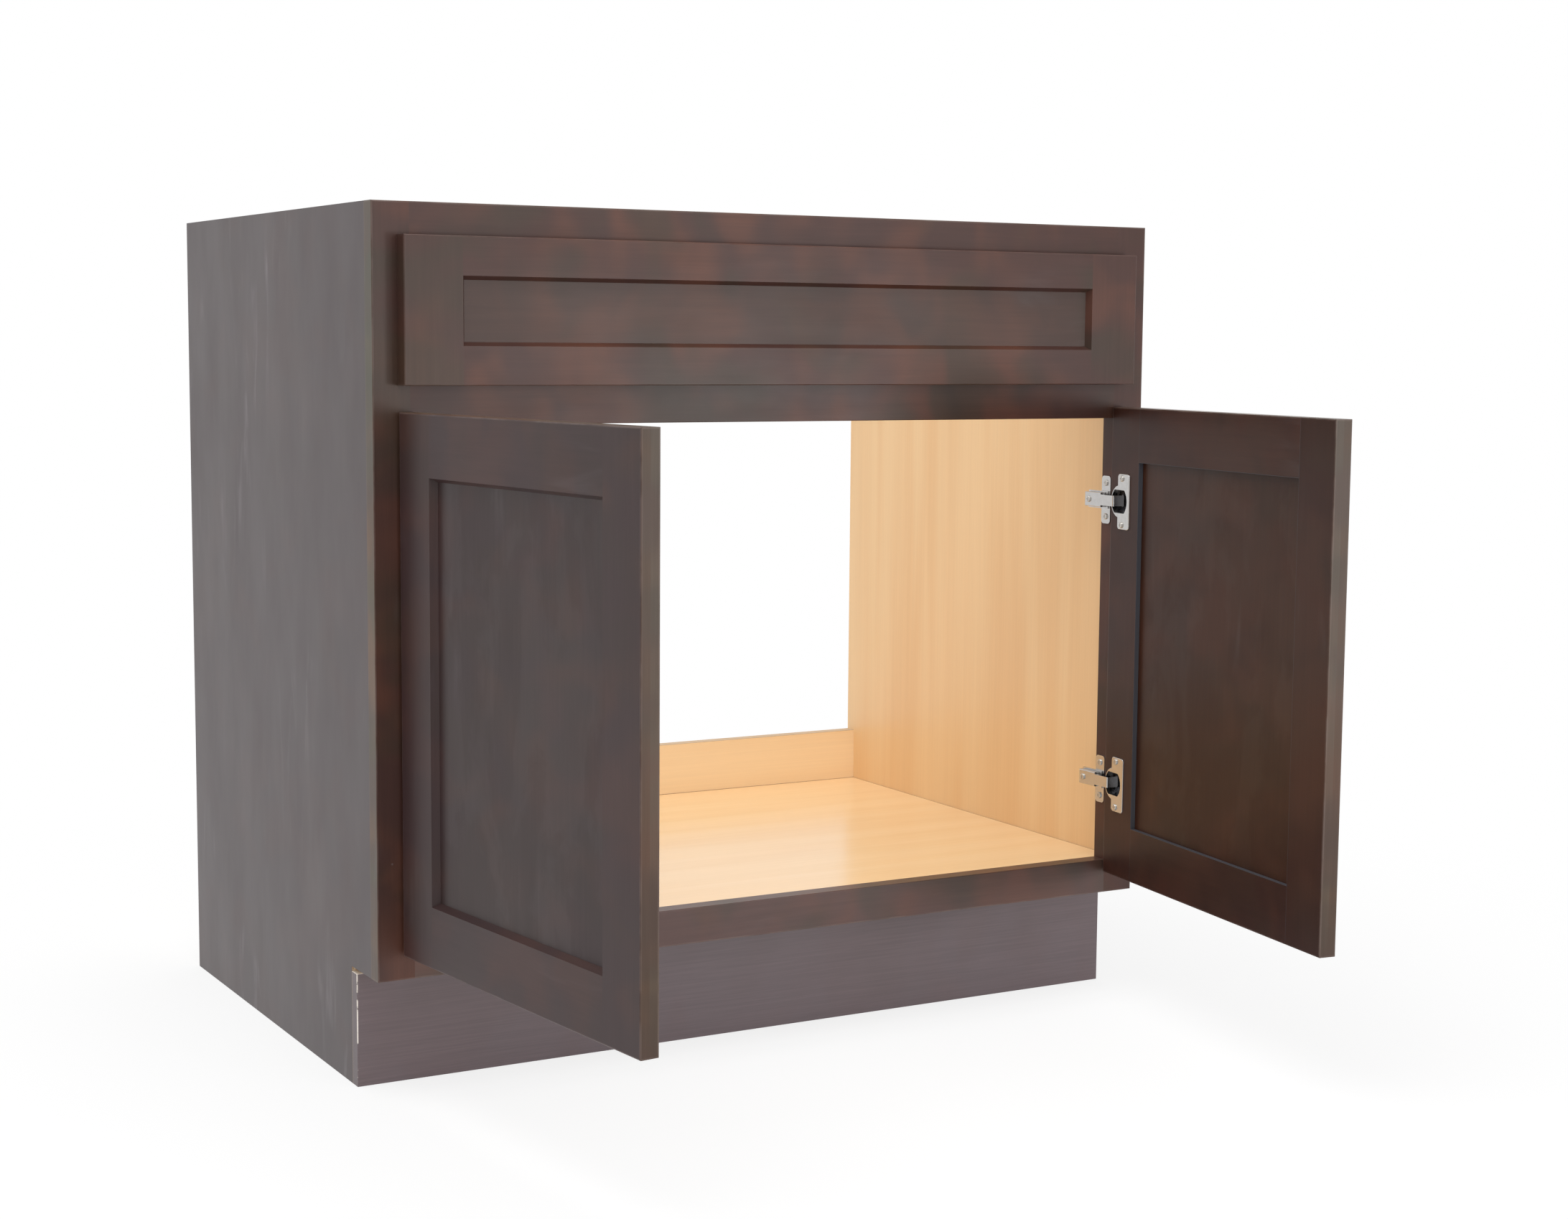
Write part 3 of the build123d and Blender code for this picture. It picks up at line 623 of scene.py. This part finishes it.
def grain_vector(tree, vector, along):
    """Coordinates turned so that the grain runs along the third axis."""
    if along == "Z":
        return vector
    turn = {"Vector": vector, "Angle": math.pi / 2}
    return add_node(tree, "ShaderNodeVectorRotate", {"rotation_type": "Y_AXIS"}, turn).outputs[0]


def raise_surface(tree, shader, height, relief):
    """Fine relief from a height."""
    strength, depth = relief
    inputs = {"Strength": strength, "Distance": depth, "Height": height}
    bump = add_node(tree, "ShaderNodeBump", {}, inputs)
    tree.links.new(bump.outputs["Normal"], shader.inputs["Normal"])


def plane_gap(tree, value, plane):
    """Distance from a plane across one axis."""
    return calc(tree, "ABSOLUTE", calc(tree, "SUBTRACT", value, plane))


def near_plane(tree, value, plane):
    """Mask of the face that lies on a plane across one axis."""
    return calc(tree, "LESS_THAN", plane_gap(tree, value, plane), FACE_TOLERANCE)


def seam(tree, value, plane, look):
    """Mask of the dark line where a board meets the plane of another."""
    gap = plane_gap(tree, value, plane)
    return ramp(tree, gap, look.seam_width / 2, look.seam_width, start=SEAM_STRENGTH, end=0.0)


def rough_where_bare(tree, satin, bare):
    """Roughness of a finish that leaves some faces bare."""
    return calc(tree, "MAXIMUM", satin, calc(tree, "MULTIPLY", bare, BARE_ROUGHNESS))


def espresso_colour(tree, vector, look, stain, patches, smears, specks, grain=1.0):
    """Stained and lacquered wood: its colour, roughness and height."""
    mottled = use_finish(
        tree,
        stain_mottling,
        {
            "Vector": vector,
            "Stain": stain,
            "Warm Patch": rgba(look.warm_patch),
            "Olive Patch": rgba(look.olive_patch),
            "Patch Size": look.patch_size,
            "Strength": patches,
        },
    )["Color"]
    figure = use_finish(
        tree,
        wood_grain,
        {"Vector": vector, "Pitch": look.grain_pitch, "Strength": look.grain_strength * grain},
    )
    shaded = blend(tree, 1.0, mottled, figure["Shade"], "MULTIPLY")
    marks = {"Vector": vector, "Smears": smears, "Specks": specks}
    dusty = use_finish(tree, wipe_smears, marks)["Mask"]
    shaded = blend(tree, dusty, shaded, rgba(look.smear))
    satin = use_finish(
        tree,
        satin_roughness,
        {"Vector": vector, "Roughness": look.lacquer_roughness, "Spread": LACQUER_SPREAD},
    )["Roughness"]
    satin = calc(tree, "ADD", satin, calc(tree, "MULTIPLY", dusty, DUST_ROUGHNESS), True)
    return shaded, satin, figure["Height"]


def door_shine(tree, spot, outer, look, tone):
    """Gloss of a door: bright on its front, dull on its back and edges, wiped in cloudy marks."""
    shine = calc(tree, "MULTIPLY", outer, tone["gloss"] - look.dull_gloss)
    gloss = calc(tree, "ADD", shine, look.dull_gloss)
    if tone["wiped"]:
        upright = lengthen(tree, spot, squeeze=0.5)
        cloud = noise(tree, upright, scale=12.0, detail=5.0, roughness=0.6, distortion=0.6)
        swing = tone["wiped"] / 2
        marks = ramp(tree, cloud, low=0.45, high=0.55, start=1.0 - swing, end=1.0 + swing)
        gloss = calc(tree, "MULTIPLY", gloss, marks)
    return gloss


def espresso_material(name, look, tone, box, along="Z", body=None, ledges=None):
    """Stained wood, its grain along an axis of the closed part, paler and worn at a box's edges."""
    material, tree, shader = blank_material(name)
    low, high = box
    spot = closed_vector(tree, body)
    front = calc(tree, "LESS_THAN", axis_values(tree, spot)["Y"], (low.y + high.y) / 2)
    # On doors the outside stain holds a painted grey reflection and the inside stain painted shade;
    # elsewhere both are the same stain
    stain = blend(tree, front, rgba(tone["inner"]), rgba(tone["stain"]))
    vector = grain_vector(tree, spot, along)
    shaded, satin, height = espresso_colour(
        tree, vector, look, stain, tone["patches"], look.smears, FRAME_SPECKS
    )
    worn = use_finish(
        tree,
        framed_edges,
        {
            "Vector": spot,
            "Low": low,
            "High": high,
            "Width": look.rub_width,
            "Strength": tone["rub"],
        },
    )
    paler = vector_calc(tree, "DIVIDE", tone["edge"], stain)
    edged = blend(tree, 1.0, shaded, paler, "MULTIPLY")
    shaded = blend(tree, worn["Edge Faces"], shaded, edged)
    # Paler arrises: partly wear, partly a painted highlight
    shaded = blend(tree, worn["Rub"], shaded, rgba(look.rubbed))
    # Painted reflection: grey on the ledges behind a door's panel, for the sky mirrored there
    if ledges:
        axis, planes = ledges
        near = [near_plane(tree, axis_values(tree, spot)[axis], plane) for plane in planes]
        behind = calc(tree, "SUBTRACT", calc(tree, "MAXIMUM", *near), front, True)
        shaded = blend(tree, behind, shaded, rgba(look.ledge))
    surface = {
        "Base Color": shaded,
        "Roughness": satin,
        "IOR": WOOD_IOR,
        "Specular IOR Level": tone["gloss"],
    }
    fill_inputs(tree, shader, surface)
    if body:
        outer = calc(tree, "SUBTRACT", front, worn["Edge Faces"], True)
        gloss = door_shine(tree, spot, outer, look, tone)
        tree.links.new(gloss, shader.inputs["Specular IOR Level"])
    raise_surface(tree, shader, height, STAIN_RELIEF)
    return material


def maple_colour(tree, vector, look, maple, streaks):
    """Clear maple of one tone: its colour and height."""
    return use_finish(
        tree,
        maple_figure,
        {
            "Vector": vector,
            "Maple": rgba(maple),
            "Streak": rgba(look.streak),
            "Knot": rgba(look.knot),
            "Streak Width": look.streak_width,
            "Strength": streaks,
        },
    )


def cut_edge_colour(tree, vector, depth, look):
    """Cut plywood edge: its colour and height."""
    return use_finish(
        tree,
        ply_layers,
        {
            "Vector": vector,
            "Depth": depth,
            "Ply": look.ply_thickness,
            "Pale": rgba(look.raw),
            "Dark": rgba(look.core),
        },
    )


def side_panel_material(espresso, maple):
    """Side panel: stained outside, clear maple inside, bare plies on the cut edges."""
    material, tree, shader = blank_material("side_panel_two_faced")
    vector = closed_vector(tree)
    across = calc(tree, "ABSOLUTE", axis_values(tree, vector)["X"])
    outside = near_plane(tree, across, -SIDE_LOW.x)
    inside = near_plane(tree, across, -SIDE_HIGH.x)
    stain = rgba(espresso.side_stain)
    dark, satin, dark_height = espresso_colour(
        tree, vector, espresso, stain, smears=espresso.side_smears, **SIDE_MARKS
    )
    clear = maple_colour(tree, vector, maple, maple.maple, maple.side_streaks)
    cut = cut_edge_colour(tree, vector, across, maple)
    shaded = blend(tree, inside, cut["Color"], clear["Color"])
    bare = calc(tree, "SUBTRACT", 1.0, calc(tree, "ADD", inside, outside, True))
    surface = {
        "Base Color": blend(tree, outside, shaded, dark),
        "Roughness": rough_where_bare(tree, satin, bare),
        "IOR": WOOD_IOR,
        "Specular IOR Level": espresso.side_gloss,
    }
    fill_inputs(tree, shader, surface)
    height = calc(tree, "ADD", dark_height, calc(tree, "MULTIPLY", bare, cut["Height"]))
    raise_surface(tree, shader, height, STAIN_RELIEF)
    return material


def toe_board_material(espresso, maple):
    """Toe-kick board: brushed stain with a painted reflection in front, raw on top and behind, one
    edge chipped.
    """
    material, tree, shader = blank_material("toe_board_brushed_stain_and_reflection")
    board = closed_vector(tree)
    vector = grain_vector(tree, board, "X")
    spot = axis_values(tree, board)
    # The toe stain is paler and greyer: stain with a painted reflection of the floor
    dark, satin, height = espresso_colour(
        tree, vector, espresso, rgba(espresso.toe_stain), **TOE_MARKS
    )
    brushed = noise(tree, lengthen(tree, vector, squeeze=0.02), scale=520.0, roughness=0.6)
    strokes = ramp(tree, brushed, low=0.25, high=0.75, start=0.93, end=1.07)
    dark = blend(tree, 1.0, dark, strokes, "MULTIPLY")
    behind = near_plane(tree, spot["Y"], TOE_HIGH.y)
    top = near_plane(tree, spot["Z"], TOE_HIGH.z)
    shaded = blend(tree, behind, dark, rgba(maple.raw))
    from_left = calc(tree, "ADD", spot["X"], -TOE_LOW.x)
    from_front = calc(tree, "ADD", spot["Y"], -TOE_LOW.y)
    corner = calc(
        tree,
        "MULTIPLY",
        ramp(tree, from_left, low=0.0003, high=0.0015, start=1.0, end=0.0),
        ramp(tree, from_front, low=0.0003, high=0.0012, start=1.0, end=0.0),
    )
    more_above = ramp(tree, spot["Z"], low=0.035, high=0.075, start=0.0, end=0.12)
    patchy = noise(tree, board, scale=60.0, detail=4.0, roughness=0.7)
    ragged = ramp(tree, calc(tree, "ADD", patchy, more_above), low=0.53, high=0.62)
    chipped = calc(tree, "MULTIPLY", corner, ragged)
    shaded = blend(tree, calc(tree, "MAXIMUM", chipped, top), shaded, rgba(maple.chip))
    bare = calc(tree, "MAXIMUM", behind, top)
    rough = rough_where_bare(tree, satin, bare)
    fill_inputs(tree, shader, {"Base Color": shaded, "Roughness": rough, "IOR": WOOD_IOR})
    raise_surface(tree, shader, calc(tree, "ADD", height, brushed), STAIN_RELIEF)
    return material


def maple_material(name, look, maple, cut_level):
    """Clear maple board along the cabinet, with bare plies on the cut edge at one level."""
    material, tree, shader = blank_material(name)
    board = closed_vector(tree)
    vector = grain_vector(tree, board, "X")
    spot = axis_values(tree, board)
    clear = maple_colour(tree, vector, look, maple, look.floor_streaks)
    cut = cut_edge_colour(tree, vector, spot["Y"], look)
    edge = near_plane(tree, spot["Z"], cut_level)
    shaded = blend(tree, edge, clear["Color"], cut["Color"])
    sides = seam(tree, calc(tree, "ABSOLUTE", spot["X"]), -SIDE_HIGH.x, look)
    ends = calc(tree, "MAXIMUM", sides, seam(tree, spot["Y"], LIP_LOW.y, look))
    ends = calc(tree, "MULTIPLY", ends, near_plane(tree, spot["Z"], FLOOR_HIGH.z))
    shaded = blend(tree, ends, shaded, rgba(look.seam))
    satin = use_finish(
        tree,
        satin_roughness,
        {"Vector": vector, "Roughness": look.varnish_roughness, "Spread": VARNISH_SPREAD},
    )["Roughness"]
    rough = rough_where_bare(tree, satin, edge)
    fill_inputs(tree, shader, {"Base Color": shaded, "Roughness": rough, "IOR": WOOD_IOR})
    raise_surface(tree, shader, clear["Height"], MAPLE_RELIEF)
    return material


def raw_wood_material(name, look, along):
    """Unfinished pale wood."""
    material, tree, shader = blank_material(name)
    vector = grain_vector(tree, closed_vector(tree), along)
    grain = use_finish(tree, wood_grain, {"Vector": vector, **RAW_GRAIN})
    shaded = blend(tree, 1.0, rgba(look.raw), grain["Shade"], "MULTIPLY")
    fill_inputs(tree, shader, {"Base Color": shaded, "Roughness": RAW_ROUGHNESS})
    raise_surface(tree, shader, grain["Height"], RAW_RELIEF)
    return material


def plating_look(tree, vector, plating, roughness):
    """Plated steel: its colour, roughness and height."""
    inputs = {"Vector": vector, "Plating": rgba(plating), "Roughness": roughness}
    return use_finish(tree, plated_metal, inputs)


def wire_metal(tree, shader, shaded, metal):
    """Link a colour and the rest of a plating to the shader."""
    surface = {"Base Color": shaded, "Roughness": metal["Roughness"], "Metallic": 1.0}
    fill_inputs(tree, shader, surface)
    raise_surface(tree, shader, metal["Height"], METAL_RELIEF)


def metal_material(name, plating, roughness):
    """Plated steel."""
    material, tree, shader = blank_material(name)
    metal = plating_look(tree, closed_vector(tree), plating, roughness)
    wire_metal(tree, shader, metal["Color"], metal)
    return material


def cup_material(name, look, body):
    """Plated steel cup with painted shade in the hollow behind the face of its flange, darker with
    depth.
    """
    material, tree, shader = blank_material(name)
    vector = closed_vector(tree, body)
    metal = plating_look(tree, vector, look.nickel, look.nickel_roughness)
    back = closed_box([f"{body}_hinge_stile"], body)[1].y
    depth = calc(tree, "SUBTRACT", back, axis_values(tree, vector)["Y"])
    # Painted shade: the hollow darkens with depth behind the door's back face
    hollow = ramp(tree, depth, low=0.001, high=0.006)
    wire_metal(tree, shader, blend(tree, hollow, metal["Color"], rgba(look.cup_hollow)), metal)
    return material


def dress(names, material):
    """Give packed pieces a material."""
    for name in names:
        slots = frame["nodes"][name].material_slots
        if not slots:
            raise RuntimeError(f"{name} has no material slot")
        for slot in slots:
            slot.material = material


def frame_tone(look, **changes):
    """The stain, wear with its painted highlight, and gloss of the face frame, with some of them
    changed.
    """
    tone = {
        "stain": look.stain,
        "inner": look.stain,
        "edge": look.edge_stain,
        "patches": look.patch_strength,
        "rub": look.rub_strength,
        "gloss": look.lacquer_gloss,
        "wiped": 0.0,
    }
    return tone | changes


# Operators


class CABINET_OT_face_frame(Operator):
    """Stain the stiles and rails of the face frame"""

    bl_idname = "cabinet.face_frame"
    bl_label = "Face Frame"

    def execute(self, context):
        look = context.scene.cabinet_espresso
        tone = frame_tone(look)
        # The bottom rail's paler stain is painted bounce light from the floor
        low_tone = frame_tone(
            look, stain=look.low_stain, inner=look.low_stain, gloss=look.low_gloss
        )
        box = closed_box(FRAME_STILES + FRAME_RAILS + LOW_RAIL)
        dress(FRAME_STILES, espresso_material("face_frame_stile_stain", look, tone, box))
        dress(FRAME_RAILS, espresso_material("face_frame_rail_stain", look, tone, box, "X"))
        dress(LOW_RAIL, espresso_material("face_frame_low_rail_stain_painted_light", look, low_tone, box, "X"))
        return {"FINISHED"}


class CABINET_OT_false_front(Operator):
    """Stain the false drawer front"""

    bl_idname = "cabinet.false_front"
    bl_label = "False Front"

    def execute(self, context):
        look = context.scene.cabinet_espresso
        tone = frame_tone(look, edge=look.stain, rub=look.front_rub)
        box = closed_box(FALSE_STILES + FALSE_RAILS)
        dress(FALSE_STILES, espresso_material("false_front_stile_stain", look, tone, box))
        dress(FALSE_RAILS, espresso_material("false_front_rail_stain", look, tone, box, "X"))
        panel = ["false_front_panel"]
        box = closed_box(panel)
        tone |= dict.fromkeys(("stain", "inner", "edge"), look.panel_stain)
        tone["patches"] = look.panel_patches
        dress(panel, espresso_material("false_front_panel_stain", look, tone, box, "X"))
        return {"FINISHED"}


class CABINET_OT_doors(Operator):
    """Stain the stiles, rails and panels of both doors"""

    bl_idname = "cabinet.doors"
    bl_label = "Doors"

    def execute(self, context):
        look = context.scene.cabinet_espresso
        for body in DOOR_JOINTS:
            self.stain_frame(look, body)
            self.stain_panel(look, body)
        return {"FINISHED"}

    def door_tone(self, look, **changes):
        """The stain, wear and gloss of a door's frame, with some of them changed; its outside stain
        holds a painted grey reflection, its inside stain painted shade.
        """
        tone = {
            "stain": look.door_stain,
            "inner": look.door_inner,
            "edge": look.door_edge,
            "patches": look.door_patches,
            "gloss": look.door_gloss,
        }
        return frame_tone(look, **tone) | changes

    def stain_frame(self, look, body):
        """Stain a door's stiles and rails, and paint a grey reflection on the ledges behind its
        panel.
        """
        tone = self.door_tone(look)
        stiles = [f"{body}_hinge_stile", f"{body}_free_stile"]
        rails = [f"{body}_top_rail", f"{body}_bottom_rail"]
        box = closed_box(stiles + rails, body)
        for kind, names, along, across in (("stile", stiles, "Z", "X"), ("rail", rails, "X", "Z")):
            ledges = across, ledge_planes(names, body, across)
            name = f"{body}_{kind}_stain"
            dress(names, espresso_material(name, look, tone, box, along, body, ledges))

    def stain_panel(self, look, body):
        """Stain a door's flat panel, with a painted grey reflection in the outside stain and
        painted shade in the inside stain.
        """
        stain, inner = look.door_panel_stain, look.door_panel_inner
        tone = self.door_tone(look, stain=stain, inner=inner, wiped=look.wiped)
        panel = [f"{body}_panel"]
        box = closed_box(panel, body)
        dress(panel, espresso_material(f"{body}_panel_stain", look, tone, box, body=body))


class CABINET_OT_side_panels(Operator):
    """Finish both side panels, dark outside and maple inside"""

    bl_idname = "cabinet.side_panels"
    bl_label = "Side Panels"

    def execute(self, context):
        material = side_panel_material(context.scene.cabinet_espresso, context.scene.cabinet_maple)
        dress(["left_side_panel", "right_side_panel"], material)
        return {"FINISHED"}


class CABINET_OT_toe_board(Operator):
    """Finish the toe-kick board"""

    bl_idname = "cabinet.toe_board"
    bl_label = "Toe-Kick Board"

    def execute(self, context):
        material = toe_board_material(context.scene.cabinet_espresso, context.scene.cabinet_maple)
        dress(["toe_kick_board"], material)
        return {"FINISHED"}


class CABINET_OT_maple_boards(Operator):
    """Finish the floor panel and the back rails in clear maple"""

    bl_idname = "cabinet.maple_boards"
    bl_label = "Maple Boards"

    def execute(self, context):
        look = context.scene.cabinet_maple
        # The back rails get a paler maple: painted light where light falls on them
        pale = look.pale_maple
        dress(["floor_panel"], maple_material("floor_clear_maple", look, look.maple, FLOOR_LOW.z))
        dress(["back_bottom_rail"], maple_material("back_lip_clear_maple", look, pale, LIP_HIGH.z))
        dress(["back_top_rail"], maple_material("back_rail_clear_maple", look, pale, CAD_BOX[1][2]))
        return {"FINISHED"}


class CABINET_OT_hidden_wood(Operator):
    """Leave the corner blocks, cleats and dowels as bare wood"""

    bl_idname = "cabinet.hidden_wood"
    bl_label = "Corner Blocks, Cleats and Dowels"

    def execute(self, context):
        look = context.scene.cabinet_maple
        blocks = raw_wood_material("corner_block_bare_wood", look, "X")
        upright = raw_wood_material("cleat_bare_wood", look, "Z")
        for side in ("left", "right"):
            dress([f"corner_block_front_{side}", f"corner_block_back_{side}"], blocks)
            dress([f"false_front_{side}_cleat"], upright)
        dress(["face_frame_dowels"], upright)
        return {"FINISHED"}


class CABINET_OT_hinges(Operator):
    """Plate the hinges and their screws"""

    bl_idname = "cabinet.hinges"
    bl_label = "Hinges and Screws"

    def execute(self, context):
        look = context.scene.cabinet_metal
        nickel = metal_material("hinge_nickel_plate", look.nickel, look.nickel_roughness)
        zinc = metal_material("screw_zinc_plate", look.zinc, look.zinc_roughness)
        for side in ("left", "right"):
            # Each cup carries painted shade in its hollow
            cup = cup_material(f"{side}_cup_nickel_painted_shade", look, f"{side}_door")
            for level in ("upper", "lower"):
                hinge = f"{side}_{level}_hinge"
                dress([f"{hinge}_arm", f"{hinge}_base", f"{hinge}_pin"], nickel)
                dress([f"{hinge}_cup"], cup)
            dress([f"{side}_hinge_cup_screws"], zinc)
        dress(["hinge_base_screws", "hinge_adjusting_screws", "false_front_screws"], zinc)
        return {"FINISHED"}


class CABINET_OT_stage(Operator):
    """Set the white floor, the soft light and the camera"""

    bl_idname = "cabinet.stage"
    bl_label = "Stage"

    def execute(self, context):
        look = context.scene.cabinet_stage
        self.lay_floor(context, look)
        self.light_sky(context, look)
        self.hang_lamp(context, "front_lamp", look.front_place, look.front_size, look.front_power)
        self.hang_lamp(context, "side_lamp", look.side_place, look.side_size, look.side_power)
        self.hang_lamp(context, "top_lamp", look.top_place, look.top_size, look.top_power)
        self.place_camera(context, look)
        context.scene.view_settings.view_transform = "Standard"
        return {"FINISHED"}

    def white_seen(self, tree):
        """Mask of the rays that see the white: those of the camera, of gloss and of glass."""
        path = tree.nodes.new("ShaderNodeLightPath").outputs
        seen = calc(tree, "MAXIMUM", path["Is Camera Ray"], path["Is Glossy Ray"])
        return calc(tree, "MAXIMUM", seen, path["Is Transmission Ray"])

    def lay_floor(self, context, look):
        """A plain pale floor that keeps the soft shadow and fades to white around it."""
        mesh = bpy.data.meshes.new("studio_floor")
        shape = bmesh.new()
        cells = {"x_segments": FLOOR_CELLS, "y_segments": FLOOR_CELLS}
        bmesh.ops.create_grid(shape, size=look.floor_size / 2, **cells)
        shape.to_mesh(mesh)
        shape.free()
        floor = bpy.data.objects.new("studio_floor", mesh)
        floor.location.z = CAD_BOX[0][2] - FACE_TOLERANCE
        context.scene.collection.objects.link(floor)
        material, tree, shader = blank_material("studio_floor_white")
        plain = {"Base Color": rgba(look.floor), "Roughness": FLOOR_ROUGHNESS}
        fill_inputs(tree, shader, plain)
        spot = tree.nodes.new("ShaderNodeTexCoord").outputs["Object"]
        measure = add_node(tree, "ShaderNodeVectorMath", {"operation": "LENGTH"}, {0: spot})
        white = add_node(tree, "ShaderNodeEmission", {}, {"Color": WHITE, "Strength": 1.0})
        core, rim = look.shadow_radius * SHADOW_CORE, look.shadow_radius
        glow = ramp(tree, measure.outputs["Value"], core, rim, start=look.floor_glow, end=1.0)
        amount = calc(tree, "MULTIPLY", self.white_seen(tree), glow)
        ends = {0: amount, 1: shader.outputs[0], 2: white.outputs[0]}
        mixed = add_node(tree, "ShaderNodeMixShader", {}, ends)
        output = next(node for node in tree.nodes if node.type == "OUTPUT_MATERIAL")
        tree.links.new(mixed.outputs[0], output.inputs["Surface"])
        mesh.materials.append(material)

    def light_sky(self, context, look):
        """Even light from all round, white where it is seen."""
        world = bpy.data.worlds.new("studio_white")
        context.scene.world = world
        world.use_nodes = True
        tree = world.node_tree
        tree.nodes.clear()
        light = add_node(tree, "ShaderNodeBackground", {}, {"Color": WHITE, "Strength": look.sky})
        white = add_node(tree, "ShaderNodeBackground", {}, {"Color": WHITE, "Strength": 1.0})
        ends = {0: self.white_seen(tree), 1: light.outputs[0], 2: white.outputs[0]}
        mixed = add_node(tree, "ShaderNodeMixShader", {}, ends)
        output = tree.nodes.new("ShaderNodeOutputWorld")
        tree.links.new(mixed.outputs[0], output.inputs["Surface"])

    def hang_lamp(self, context, name, spot, size, watts):
        """One large soft lamp that faces the middle of the cabinet."""
        lamp = bpy.data.lights.new(name, "AREA")
        lamp.shape = "DISK"
        lamp.size = size
        lamp.energy = watts
        holder = bpy.data.objects.new(name, lamp)
        holder.location = spot
        low, high = (Vector(corner) for corner in CAD_BOX)
        aim = (low + high) / 2 - Vector(spot)
        holder.rotation_euler = aim.to_track_quat("-Z", "Y").to_euler()
        holder.visible_camera = False
        context.scene.collection.objects.link(holder)

    def place_camera(self, context, look):
        """The camera at the viewing angle of the cabinet's picture."""
        lens = bpy.data.cameras.new("camera")
        lens.sensor_fit = "HORIZONTAL"
        lens.sensor_width = SENSOR_WIDTH
        lens.lens = look.lens
        lens.clip_end = CLIP_END
        camera = bpy.data.objects.new("camera", lens)
        aim = Euler((math.pi / 2 - look.camera_dip, 0.0, -look.camera_turn)).to_matrix().to_4x4()
        roll = Matrix.Rotation(look.camera_roll, 4, "Z")
        camera.matrix_world = Matrix.Translation(look.camera_place) @ aim @ roll
        context.scene.collection.objects.link(camera)
        context.scene.camera = camera


class CABINET_PT_looks(Panel):
    """Steps and settings of the cabinet's looks"""

    bl_idname = "CABINET_PT_looks"
    bl_label = "Vanity Base Cabinet"
    bl_space_type = "VIEW_3D"
    bl_region_type = "UI"
    bl_category = "Cabinet"

    def draw(self, context):
        column = self.layout.column(align=True)
        for step in STEPS:
            column.operator(step.bl_idname)
        for pointer, kind in SETTINGS.items():
            box = self.layout.box()
            box.label(text=kind.__doc__)
            for setting in kind.__annotations__:
                box.prop(getattr(context.scene, pointer), setting)


STEPS = (
    CABINET_OT_face_frame,
    CABINET_OT_false_front,
    CABINET_OT_doors,
    CABINET_OT_side_panels,
    CABINET_OT_toe_board,
    CABINET_OT_maple_boards,
    CABINET_OT_hidden_wood,
    CABINET_OT_hinges,
    CABINET_OT_stage,
)
SETTINGS = {
    "cabinet_espresso": EspressoSettings,
    "cabinet_maple": MapleSettings,
    "cabinet_metal": MetalSettings,
    "cabinet_stage": StageSettings,
}
CLASSES = (*SETTINGS.values(), *STEPS, CABINET_PT_looks)


def register():
    for kind in CLASSES:
        bpy.utils.register_class(kind)
    for pointer, kind in SETTINGS.items():
        setattr(bpy.types.Scene, pointer, PointerProperty(type=kind))


def unregister():
    for pointer in SETTINGS:
        delattr(bpy.types.Scene, pointer)
    for kind in reversed(CLASSES):
        bpy.utils.unregister_class(kind)


def main():
    """Register and take each step in order."""
    register()
    bpy.ops.cabinet.face_frame()
    bpy.ops.cabinet.false_front()
    bpy.ops.cabinet.doors()
    bpy.ops.cabinet.side_panels()
    bpy.ops.cabinet.toe_board()
    bpy.ops.cabinet.maple_boards()
    bpy.ops.cabinet.hidden_wood()
    bpy.ops.cabinet.hinges()
    bpy.ops.cabinet.stage()


if __name__ == "__main__":
    main()
